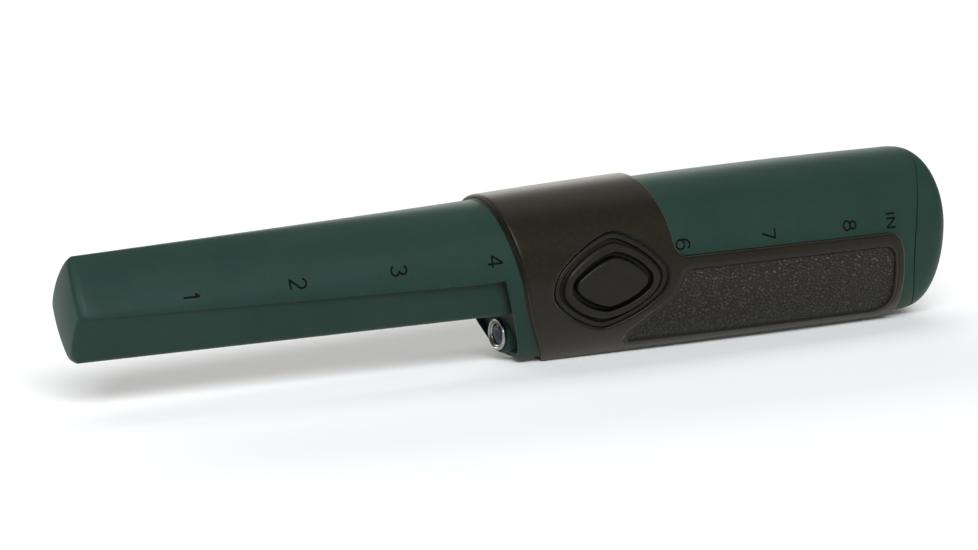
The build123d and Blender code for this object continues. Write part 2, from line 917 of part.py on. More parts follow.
def battery_cap():
    plug = mouth(carrier_front, seam_station + plug_overlap, -mouth_fit) & (rear_skin(0) + dome())
    pocket_front = mouth(carrier_front, carrier_rear, -mouth_fit - plug_wall)
    pocket_end = overall_length - pocket_end_wall
    narrow = -mouth_fit - plug_wall - plug_ledge
    shapes = []
    for station, size in ((carrier_rear, 1.0), (seam_station, 1.0), (pocket_end, pocket_share)):
        outline = body_outline(size * (mouth_half_width + narrow), size * (mouth_rise + narrow),
                               size * (mouth_drop + narrow), size * mouth_flat, rear_fullness)
        shapes.append(cross_plane(station) * outline)
    pocket = loft(shapes, ruled=True)
    outer = (dome() + rear_skin(0)) & cap_region(seam_gap)
    cap = outer + plug - pocket_front - pocket
    cap = cap - gasket_groove(gasket_width, gasket_depth, -mouth_fit)
    for side in (-1, 1):
        place = (side * cap_screw_side, pair_level)
        cap = cap + (rod_along(carrier_rear, pocket_end, cap_screw_boss_radius, *place) & (outer + plug))
        cap = cap - rod_along(carrier_front, overall_length, cap_screw_radius + cap_screw_hole_fit, *place)
        cap = cap - rod_along(screw_seat, rear_span, cap_screw_head_radius + cap_screw_hole_fit, *place)
    return cap


def cap_gasket():
    return gasket_groove(gasket_width - 2 * gasket_gap, gasket_depth - gasket_gap, gasket_gap)


clip_front = carrier_front - touch_gap - clip_thickness
screw_end = cell_rear - cap_screw_grip


def cap_screw(side):
    place = (side * cap_screw_side, pair_level)
    head_end = screw_seat + cap_screw_head_height
    head = rod_along(screw_seat, head_end, cap_screw_head_radius, *place)
    shank = rod_along(screw_end, screw_seat, cap_screw_radius, *place)
    slot = block(head_end - slot_depth, head_end, place[0] - slot_width / 2, place[0] + slot_width / 2,
                 place[1] - wide, place[1] + wide)
    return head + shank - slot


def cap_clip(side):
    place = (side * cap_screw_side, pair_level)
    ring = rod_along(clip_front, clip_front + clip_thickness, clip_radius, *place)
    return ring - rod_along(clip_front, carrier_front, cap_screw_radius + insert_fit, *place)


def cap_inserts():
    tubes = []
    for side in (-1, 1):
        place = (side * cap_screw_side, pair_level)
        tube = rod_along(cell_rear - insert_length, cell_rear, insert_radius, *place)
        bore = rod_along(cell_rear - insert_length, cell_rear, cap_screw_radius + insert_fit, *place)
        tubes.append(tube - bore)
    return Compound(tubes)


pieces = {
    "housing": housing(),
    "grip_sleeve": grip_sleeve(),
    "button_bezel": button_bezel(),
    "button_cap": button_cap(),
    "button_seal": button_seal(),
    "switch_body": switch_body(),
    "switch_plunger": switch_plunger(),
    "led_bezel": led_bezel(),
    "led_seal": led_seal(),
    "led_lens": led_lens(),
    "led_emitter": led_emitter(),
    "led_leads": led_leads(),
    "ferrite_rod": ferrite_rod(),
    "coil_bobbin": coil_bobbin(),
    "search_coil": search_coil(),
    "coil_leads": coil_leads(),
    "chassis": chassis(),
    "chassis_screws": chassis_screws(),
    "circuit_board": circuit_board(),
    "board_screws": board_screws(),
    "controller_chip": controller_chip(),
    "drive_transistor": drive_transistor(),
    "capacitors": capacitors(),
    "vibration_motor": vibration_motor(),
    "motor_weight": motor_weight(),
    "sounder": sounder(),
    "battery_upper": battery(True),
    "battery_lower": battery(False),
    "tray_contacts": tray_contacts(),
    "battery_leads": battery_leads(),
    "cap_contact": cap_contact(),
    "contact_carrier": contact_carrier(),
    "battery_cap": battery_cap(),
    "cap_gasket": cap_gasket(),
    "cap_screw_left": cap_screw(-1),
    "cap_screw_right": cap_screw(1),
    "cap_clip_left": cap_clip(-1),
    "cap_clip_right": cap_clip(1),
    "cap_inserts": cap_inserts(),
}

for name, shape in pieces.items():
    export_step(shape, f"parts/{name}.step")

print(f"wire diameter {2 * wire_radius} mm, every bend has radius {wire_bend} mm")
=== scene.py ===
import json
import math
import bmesh
import bpy
import numpy as np
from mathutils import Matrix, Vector


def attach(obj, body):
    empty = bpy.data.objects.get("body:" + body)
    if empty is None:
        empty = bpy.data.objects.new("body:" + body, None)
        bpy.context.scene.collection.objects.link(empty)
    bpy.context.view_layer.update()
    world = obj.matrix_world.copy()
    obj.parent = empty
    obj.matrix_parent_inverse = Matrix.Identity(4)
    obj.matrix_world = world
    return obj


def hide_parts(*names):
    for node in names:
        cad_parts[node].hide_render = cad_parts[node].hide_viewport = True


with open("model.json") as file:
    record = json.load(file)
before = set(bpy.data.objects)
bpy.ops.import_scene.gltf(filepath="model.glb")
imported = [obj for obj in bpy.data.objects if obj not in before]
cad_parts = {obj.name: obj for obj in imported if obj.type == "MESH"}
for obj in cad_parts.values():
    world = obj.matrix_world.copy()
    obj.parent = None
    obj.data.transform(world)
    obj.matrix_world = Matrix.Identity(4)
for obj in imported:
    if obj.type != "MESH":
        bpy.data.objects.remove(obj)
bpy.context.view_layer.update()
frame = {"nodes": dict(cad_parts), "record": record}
nodes = frame["nodes"]
mm = 0.001
print("frame loaded,", len(nodes), "nodes")

# rounds of halving, rounds of settling on an edge, and the step that slopes are taken over
solving = {"halvings": 44, "settles": 12, "nudge": 1e-3}

# all sizes in mm: s runs along the part from the probe's tip, z is up from the widest line
handleForm = {
    "length": 238.5, "axisLevel": 23.5, "stations": (103.2, 150.0, 223.5),
    "halfWidth": (16.0, 17.6, 17.9), "rise": (16.65, 18.8, 20.3), "drop": 22.3, "flat": 4.5,
    "fullness": (0.15, 0.42, 0.55), "quarter": 0.5523,
    "domeLength": 15.0, "domeBlunt": 5.4, "domeRound": 2.4, "domeEnd": 0.2, "domeLift": 0.8,
}


# frame point in metres from station, side and level
def place(s, y, z):
    s, y, z = np.broadcast_arrays(s, y, z)
    return np.stack((s - handleForm["length"] / 2, y, z + handleForm["axisLevel"]), -1) * mm


# straight blend from a to b
def mix(a, b, share):
    return a + share * (b - a)


# values from stop to stop, each stretch in its own count of even steps
def ladder(stops, counts):
    stretches = [np.linspace(a, b, n + 1)[1:] for a, b, n in zip(stops, stops[1:], counts)]
    return np.concatenate([stops[:1]] + stretches)


# parabola through the values given at the three stations
def along(values, s):
    a, b, c = handleForm["stations"]
    return (values[0] * (s - b) * (s - c) / ((a - b) * (a - c))
            + values[1] * (s - a) * (s - c) / ((b - a) * (b - c))
            + values[2] * (s - a) * (s - b) / ((c - a) * (c - b)))


# cubic curve from a to d, drawn by the two inner values b and c
def cubic(a, b, c, d, t):
    return (1 - t) ** 3 * a + 3 * (1 - t) ** 2 * t * b + 3 * (1 - t) * t ** 2 * c + t ** 3 * d


# half a section: q 1 to 0 is a quarter ellipse from the top to the widest line, q 0 to -1 the lower
# flank, drawn by the bow and the fullness, q -1 to -2 the flat strip
def section(q, w, top, low, flat, bow, full):
    k = handleForm["quarter"]
    up, down = np.clip(q, 0, 1), np.clip(-q, 0, 1)
    y = np.where(q >= 0, cubic(w, w, k * w, 0, up), cubic(w, w, bow, flat, down))
    z = np.where(q >= 0, cubic(0, k * top, top, top, up), -cubic(0, full * low, low, low, down))
    return np.where(q < -1, flat * (2 + q), y), z


# handle section at s; lift grows the section, and past the last station the whole section shrinks
# as (1 - loss * u^blunt)^(1/round)
def skin(s, q, lift=0.0):
    form = handleForm
    s, q, lift = np.broadcast_arrays(*(np.asarray(a, float) for a in (s, q, lift)))
    h = np.minimum(s, form["stations"][2])
    full, flat = np.array(form["fullness"]), form["flat"]
    fullness = along(full, h)
    bow = flat + along(full * np.array(form["halfWidth"]), h) + fullness * (lift - flat)
    y, z = section(q, along(form["halfWidth"], h) + lift, along(form["rise"], h) + lift,
                   form["drop"] + lift, flat, bow, fullness)
    u = np.clip((s - form["stations"][2]) / form["domeLength"], 0, 1)
    loss = 1 - form["domeEnd"] ** form["domeRound"]
    size = (1 - loss * u ** form["domeBlunt"]) ** (1 / form["domeRound"])
    return y * size, z * size + form["domeLift"] * u ** 2


# q where a surface reaches a level, by halving the range
def qAtLevel(s, z, lift=0.0, surface=skin):
    s, z = np.broadcast_arrays(np.asarray(s, float), np.asarray(z, float))
    low, high = np.full(s.shape, -1.0), np.full(s.shape, 1.0)
    for step in range(solving["halvings"]):
        q = (low + high) / 2
        above = surface(s, q, lift)[1] > z
        high, low = np.where(above, q, high), np.where(above, low, q)
    return (low + high) / 2


# station of an edge that is drawn in side view as s = edge(level), for given q
def stationOnEdge(edge, q, lift, guess):
    s = np.full(np.shape(q), float(guess))
    for step in range(solving["settles"]):
        s = edge(skin(s, q, lift)[1])
    return s


# skin point in metres, side -1 is the button's side
def onSkin(s, q, lift, side):
    y, z = skin(s, q, lift)
    return place(s, side * y, z)


# point in metres on the button's side at a station and level, straight out sideways to the surface
def onSide(s, z, lift, surface=skin):
    s, z, lift = np.broadcast_arrays(s, z, lift)
    y = surface(s, qAtLevel(s, z, lift, surface), lift)[0]
    return place(s, -y, z)


# unit step in (s, q) square to a line of points on the skin, from the skin's own stretch along q
def squareStep(s, q, lift):
    e = solving["nudge"]
    qa, qb = np.clip(q - e, -2, 1), np.clip(q + e, -2, 1)
    ya, za = skin(s, qa, lift)
    yb, zb = skin(s, qb, lift)
    g = ((yb - ya) ** 2 + (zb - za) ** 2) / (qb - qa) ** 2
    ns, nq = -g * np.gradient(q), np.gradient(s)
    size = np.sqrt(ns ** 2 + g * nq ** 2)
    return ns / size, nq / size


# corner numbers of the squares of a grid
def quads(rows, cols, start):
    i = np.arange(rows * cols).reshape(rows, cols) + start
    return np.stack((i[:-1, :-1], i[1:, :-1], i[1:, 1:], i[:-1, 1:]), -1).reshape(-1, 4)


# grid of points with a fourth number each, the painted shade at the point, darkest at 1
def withPaintedShade(grid, depth):
    return np.concatenate((grid, np.broadcast_to(depth, grid.shape[:2])[..., None]), -1)


# one mesh from grids of points, welded where they share edges, normals turned outwards
def makePiece(name, grids, body, slotName, replaced=(), finish=None, sharp=50, weld=0.004, sliver=0.0005):
    grids = [g if g.shape[-1] == 4 else withPaintedShade(g, 0.0) for g in grids]
    points = np.concatenate([g.reshape(-1, 4) for g in grids])
    starts = np.cumsum([0] + [g.shape[0] * g.shape[1] for g in grids])
    faces = [quads(*g.shape[:2], start) for g, start in zip(grids, starts)]
    faces = np.concatenate(faces).astype(np.int32)
    mesh = bpy.data.meshes.new(name)
    mesh.vertices.add(len(points))
    mesh.vertices.foreach_set("co", points[:, :3].astype(np.float32).ravel())
    mesh.loops.add(faces.size)
    mesh.loops.foreach_set("vertex_index", faces.ravel())
    mesh.polygons.add(len(faces))
    mesh.polygons.foreach_set("loop_start", np.arange(0, faces.size, 4, dtype=np.int32))
    mesh.update(calc_edges=True)
    # painted shade per point, kept as an attribute that darkens the finish's base colour
    paintedShade = mesh.attributes.new("paintedShade", "FLOAT", "POINT")
    paintedShade.data.foreach_set("value", points[:, 3].astype(np.float32))
    work = bmesh.new()
    work.from_mesh(mesh)
    bmesh.ops.remove_doubles(work, verts=work.verts, dist=weld * mm)
    bmesh.ops.dissolve_degenerate(work, edges=work.edges, dist=sliver * mm)
    bmesh.ops.recalc_face_normals(work, faces=work.faces)
    work.to_mesh(mesh)
    work.free()
    mesh.polygons.foreach_set("use_smooth", np.ones(len(mesh.polygons), bool))
    mesh.set_sharp_from_angle(angle=math.radians(sharp))
    mesh.materials.append(finishes[finish or slotName])
    piece = bpy.data.objects.new(name, mesh)
    bpy.context.scene.collection.objects.link(piece)
    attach(piece, body)
    if replaced:
        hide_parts(*replaced)
    print(name, len(mesh.polygons), "faces")


# length run along a line of points, from its first
def runAlong(line):
    return np.concatenate(([0], np.cumsum(np.linalg.norm(np.diff(line, axis=0), axis=1))))


# points of a line at given run lengths
def pointsAt(line, run, at):
    return np.stack([np.interp(at, run, column) for column in line.T], -1)


# closed polygon with its corners rounded, as points about step apart
def roundedOutline(corners, radii, step, least=4):
    p = np.asarray(corners, float)
    before, after = np.roll(p, 1, 0) - p, np.roll(p, -1, 0) - p
    before /= np.linalg.norm(before, axis=1)[:, None]
    after /= np.linalg.norm(after, axis=1)[:, None]
    line = []
    for corner, a, b, r in zip(p, before, after, radii):
        half = math.acos(float(np.clip(a @ b, -1, 1))) / 2
        middle = (a + b) / np.linalg.norm(a + b)
        centre = corner + middle * r / math.sin(half)
        sweep = math.pi / 2 - half
        turn = np.linspace(-1, 1, max(least, int(2 * sweep * r / step) + 2)) * sweep
        side = np.sign(a[0] * b[1] - a[1] * b[0])
        turn = math.atan2(-middle[1], -middle[0]) - side * turn
        line.append(centre + r * np.stack((np.cos(turn), np.sin(turn)), -1))
    line = np.concatenate(line)
    closed = np.vstack((line, line[:1]))
    run = runAlong(closed)
    even = np.linspace(0, run[-1], int(run[-1] / step) + 1)[:-1]
    return pointsAt(closed, run, np.unique(np.concatenate((even, run[:-1]))))


# outlines are length, height and corner radius
buttonPlace = {
    "s": 131.8, "z": -3.1, "skew": 0.45, "droop": 0.35, "bow": 0.65,
    "opening": (31.6, 24.3, 6.5), "cap": (19.6, 12.3, 2.0), "sidePoints": 41, "cornerPoints": 22,
}


# lozenge outline round the button: four corners joined by shallow arcs that swell by the bow,
# then the whole pushed out by the corner radius, so each corner is an arc of that radius
def lozenge(outline, grow):
    length, height, radius = outline
    skew, droop, bow = buttonPlace["skew"], buttonPlace["droop"], buttonPlace["bow"]
    a, u, r = length / 2 - radius, height / 2 - radius, radius + grow
    core = np.array([(-a, 0), (skew, -u), (a, -droop), (skew, u)])
    ends = np.roll(core, -1, 0)
    size = np.linalg.norm(ends - core, axis=1)[:, None]
    ahead = (ends - core) / size
    out = np.stack((ahead[:, 1], -ahead[:, 0]), -1)
    swing = (size ** 2 / 4 + bow ** 2) / (2 * bow)
    centre = (core + ends) / 2 + out * (bow - swing)
    turn = np.arcsin(size / 2 / swing) * np.linspace(-1, 1, buttonPlace["sidePoints"])
    normal = np.sin(turn)[..., None] * ahead[:, None] + np.cos(turn)[..., None] * out[:, None]
    side = centre[:, None] + (swing + r)[..., None] * normal
    start = np.arctan2(normal[:, -1, 1], normal[:, -1, 0])
    stop = np.roll(np.arctan2(normal[:, 0, 1], normal[:, 0, 0]), -1)
    sweep = (stop - start + math.pi) % (2 * math.pi) - math.pi
    fan = start[:, None] + sweep[:, None] * np.linspace(0, 1, buttonPlace["cornerPoints"])[1:-1]
    corner = ends[:, None] + r * np.stack((np.cos(fan), np.sin(fan)), -1)
    return np.concatenate((side, corner), 1).reshape(-1, 2)


# station and level of a lozenge round the button, for given angles from the button's centre
def roundButton(outline, grow, angle):
    line = lozenge(outline, grow)
    own = np.arctan2(line[:, 1], line[:, 0])
    order = np.argsort(own)
    r = np.interp(angle, own[order], np.hypot(*line.T)[order], period=2 * math.pi)
    return buttonPlace["s"] + r * np.cos(angle), buttonPlace["z"] + r * np.sin(angle)


# nodes round a rectangular block of a grid, back to the first
def blockLoop(block):
    i0, i1, j0, j1 = block
    return np.array([(i, j0) for i in range(i0, i1)] + [(i1, j) for j in range(j0, j1)]
                    + [(i, j1) for i in range(i1, i0, -1)] + [(i0, j) for j in range(j1, j0 - 1, -1)]).T


# what is left of a grid round that block
def aroundBlock(grid, block):
    i0, i1, j0, j1 = block
    return [grid[:, :j0 + 1], grid[:, j1:], grid[:i0 + 1, j0:j1 + 1], grid[i1:, j0:j1 + 1]]


# screen colour 0 to 255 as a linear colour
def tint(r, g, b):
    return tuple(((v / 255 + 0.055) / 1.055) ** 2.4 for v in (r, g, b)) + (1.0,)


# shader node with its values and its links
def addNode(tree, kind, values=(), links=()):
    node = tree.nodes.new(kind)
    for key, value in dict(values).items():
        node.inputs[key].default_value = value
    for key, (source, output) in dict(links).items():
        tree.links.new(source.outputs[output], node.inputs[key])
    return node


# shader's sockets, the word that a look sets each by, and its value where a look doesn't
shaderSockets = {
    "Metallic": ("metal", 0.0), "Coat Weight": ("coat", 0.0), "Transmission Weight": ("clear", 0.0),
    "IOR": ("ior", 1.5), "Specular IOR Level": ("shine", 0.3),
    "Specular Tint": ("shineTint", (255, 255, 255)), "Sheen Weight": ("sheen", 0.0),
    "Sheen Roughness": ("sheenRough", 0.4), "Sheen Tint": ("sheenTint", (255, 255, 255)),
}


# colour drifts between two tones on a slow noise, roughness and bump follow a fine grain, and the
# colour goes over to a painted-shade colour as the painted shade attribute goes to 1
def grainFinish(name, look):
    dark, light, cloudScale, grainScale, bumpStrength, bumpDepth, roughness, more = look
    finish = bpy.data.materials.new(name)
    finish.use_nodes = True
    tree = finish.node_tree
    shader = tree.nodes["Principled BSDF"]
    where = addNode(tree, "ShaderNodeTexCoord")
    cloud = addNode(tree, "ShaderNodeTexNoise", {"Scale": cloudScale, "Detail": 5.0, "Roughness": 0.62},
                    {"Vector": (where, "Object")})
    grain = addNode(tree, "ShaderNodeTexNoise", {"Scale": grainScale, "Detail": 3.0, "Roughness": 0.55},
                    {"Vector": (where, "Object")})
    both = addNode(tree, "ShaderNodeMath", {}, {0: (cloud, "Fac"), 1: (grain, "Fac")})
    both.operation = "ADD"
    spread = addNode(tree, "ShaderNodeMapRange", {"From Min": 0.75, "From Max": 1.25},
                     {"Value": (both, "Value")})
    tone = addNode(tree, "ShaderNodeValToRGB", {}, {"Fac": (spread, "Result")})
    for element, colour in zip(tone.color_ramp.elements, (dark, light)):
        element.color = tint(*colour)
    base = tone.outputs["Color"]
    # painted shade: the base colour is mixed towards the look's shade colour
    if "paintedShade" in more:
        depth = addNode(tree, "ShaderNodeAttribute")
        depth.attribute_name = "paintedShade"
        shade = tree.nodes.new("ShaderNodeMix")
        shade.data_type = "RGBA"
        tree.links.new(depth.outputs["Fac"], shade.inputs[0])
        tree.links.new(base, shade.inputs[6])
        shade.inputs[7].default_value = tint(*more["paintedShade"])
        base = shade.outputs[2]
    tree.links.new(base, shader.inputs["Base Color"])
    rough = addNode(tree, "ShaderNodeMapRange", {"From Min": 0.3, "From Max": 0.7, "To Min": roughness[0],
                                                 "To Max": roughness[1]}, {"Value": (grain, "Fac")})
    tree.links.new(rough.outputs["Result"], shader.inputs["Roughness"])
    bump = addNode(tree, "ShaderNodeBump", {"Strength": bumpStrength, "Distance": bumpDepth * mm},
                   {"Height": (grain, "Fac")})
    tree.links.new(bump.outputs["Normal"], shader.inputs["Normal"])
    for socket, (word, plain) in shaderSockets.items():
        value = more.get(word, plain)
        shader.inputs[socket].default_value = tint(*value) if isinstance(value, tuple) else value
    return finish


# looks of the record's slots, and of two pieces that share a slot: dark and light tone, scales of the
# cloud and the grain per metre, strength and depth in mm of the bump, roughness span, and the rest,
# among it the colour that painted shade goes to
finishLooks = {
    "green_shell": ((23, 43, 37), (27, 49, 42), 60, 2600, 0.35, 0.03, (0.46, 0.58), {
        "shine": 0.14, "sheen": 0.09, "sheenTint": (214, 255, 240), "paintedShade": (5, 7, 6)}),
    "grip_rubber": ((12, 10, 6), (22, 18, 12), 700, 2600, 0.5, 0.05, (0.38, 0.5), {
        "shine": 0.2, "shineTint": (255, 244, 226), "sheen": 0.22, "sheenTint": (255, 244, 222),
        "paintedShade": (4, 3, 3)}),
    "grip_grain": ((36, 35, 31), (54, 52, 47), 900, 2600, 0.5, 0.05, (0.38, 0.5), {
        "shine": 0.3, "shineTint": (255, 246, 230), "paintedShade": (2, 2, 2)}),
    "button_black": ((15, 14, 11), (24, 22, 18), 300, 3000, 0.2, 0.02, (0.42, 0.54), {
        "shine": 0.22, "shineTint": (255, 246, 232), "paintedShade": (2, 3, 3)}),
    "seal_rubber": ((16, 16, 16), (30, 30, 30), 300, 2500, 0.3, 0.03, (0.6, 0.75), {}),
    "silver_ring": ((150, 150, 144), (186, 186, 178), 400, 4000, 0.1, 0.01, (0.24, 0.36), {
        "metal": 1.0, "shine": 0.5, "paintedShade": (14, 20, 18)}),
    "clear_lens": ((16, 26, 58), (34, 50, 92), 200, 800, 0.05, 0.01, (0.04, 0.1), {
        "shine": 0.5, "clear": 0.55, "ior": 1.45}),
    "emitter_white": ((196, 190, 160), (226, 222, 200), 300, 1500, 0.05, 0.01, (0.08, 0.16), {
        "shine": 0.5, "coat": 0.5}),
    "black_plastic": ((22, 22, 23), (38, 38, 39), 200, 2400, 0.3, 0.02, (0.42, 0.58), {}),
    "frame_plastic": ((196, 192, 180), (216, 213, 203), 90, 2000, 0.2, 0.02, (0.45, 0.6), {}),
    "ferrite": ((44, 44, 47), (70, 70, 74), 600, 3500, 0.5, 0.04, (0.55, 0.75), {}),
    "copper_wire": ((150, 78, 40), (196, 112, 62), 700, 3000, 0.4, 0.04, (0.26, 0.4), {
        "metal": 1.0, "coat": 0.4}),
    "board_green": ((14, 84, 44), (24, 108, 60), 160, 1800, 0.25, 0.02, (0.3, 0.45), {"coat": 0.3}),
    "steel": ((146, 147, 150), (186, 187, 190), 300, 3200, 0.25, 0.02, (0.26, 0.42), {"metal": 1.0}),
    "brass_insert": ((176, 136, 66), (214, 176, 98), 300, 3000, 0.25, 0.02, (0.24, 0.38), {"metal": 1.0}),
    "cell_wrap": ((38, 38, 42), (58, 58, 64), 120, 1500, 0.1, 0.01, (0.28, 0.38), {"coat": 0.4}),
    "lead_insulation": ((140, 18, 14), (172, 32, 24), 400, 2200, 0.2, 0.02, (0.4, 0.55), {}),
    # the numerals' near-black tone is painted shade, standing in for the shade in the moulded strokes
    "numeral_painted_shade": ((2, 4, 3), (5, 9, 7), 200, 2600, 0.2, 0.02, (0.5, 0.65), {"shine": 0.06}),
}
finishes = {name: grainFinish(name, look) for name, look in finishLooks.items()}
for part in frame["record"]["subparts"]:
    slots = nodes[part["node"]].data.materials
    slots.clear()
    slots.append(finishes[part["material_slot"]])
print("finishes", len(finishes))


# quarter circle from straight up to level, as steps in and up from the foot of the curve
def quarterRoll(radius, steps=6):
    turn = np.linspace(0, math.pi / 2, steps)
    return radius * (1 - np.cos(turn)), radius * np.sin(turn)


# rounded edge: from the foot of a wall up a quarter circle to the flat top, as distance in and height
def rolledEdge(height, roll, foot, margin, steps=7):
    across, up = quarterRoll(roll, steps)
    return np.concatenate(([0], across, [margin])), np.concatenate(([foot], height - roll + up, [height]))


# circle through three points as centre and radius
def circleThrough(a, b, c):
    (ax, ay), (bx, by), (cx, cy) = a, b, c
    d = 2 * (ax * (by - cy) + bx * (cy - ay) + cx * (ay - by))
    p, q, r = ax * ax + ay * ay, bx * bx + by * by, cx * cx + cy * cy
    x = (p * (by - cy) + q * (cy - ay) + r * (ay - by)) / d
    y = (p * (cx - bx) + q * (ax - cx) + r * (bx - ax)) / d
    return x, y, math.hypot(ax - x, ay - y)


# signed distance to a closed outline, negative inside
def signedDistance(outline, u, v, far=1e9, tiny=1e-12):
    shape, u, v = u.shape, u.ravel(), v.ravel()
    distance, inside = np.full(u.shape, far), np.zeros(u.shape, bool)
    for (ax, ay), (bx, by) in zip(outline, np.roll(outline, -1, 0)):
        dx, dy = bx - ax, by - ay
        t = np.clip(((u - ax) * dx + (v - ay) * dy) / (dx ** 2 + dy ** 2 + tiny), 0, 1)
        distance = np.minimum(distance, np.hypot(u - ax - t * dx, v - ay - t * dy))
        if dy:
            inside ^= ((ay > v) != (by > v)) & (u < dx * (v - ay) / dy + ax)
    return np.where(inside, -distance, distance).reshape(shape)


# edges are drawn in side view as station and level; the opening's block of the collar's grid is given
# by the columns left free at each end and by two levels
sleeveForm = {
    # the last value on the next line scales the painted shade down each rolled edge, darkest at its foot on the
    # shell
    "rubber": 1.2, "fit": 0.05, "roll": 0.7, "margin": 1.5, "rollShade": 1.7,
    "lipHeight": 0.12, "lipEdge": 0.05, "frontLip": 0.8, "rearLip": 0.3,
    "front": ((118.2, -21.6), (108.1, 0.0), (104.9, 17.0)),
    "rear": 150.0, "rearLean": 0.16, "panelTop": 1.45, "innerRadius": 4.5,
    "end": 219.4, "endLean": 0.2, "endRadius": 5.0,
    "inset": ((152.4, -1.7), (150.0, -9.0), (140.6, -17.3), (140.4, -20.3), (220.26, -20.3), (216.54, -1.7)),
    "insetRadii": (3.0, 7.0, 1.9, 1.6, 4.0, 4.0), "insetStep": 0.5,
    "bedDepth": 1.0, "bedEdge": 0.9, "bedSlope": 1.0, "openFree": (3, 4), "openLevels": (13.5, -18.6),
    "upLines": 34, "filletLines": 9, "flankLines": 74, "stripLines": 8, "cornerLines": 11,
    "collarColumns": 62, "panelColumns": 150, "ringRows": 12,
}


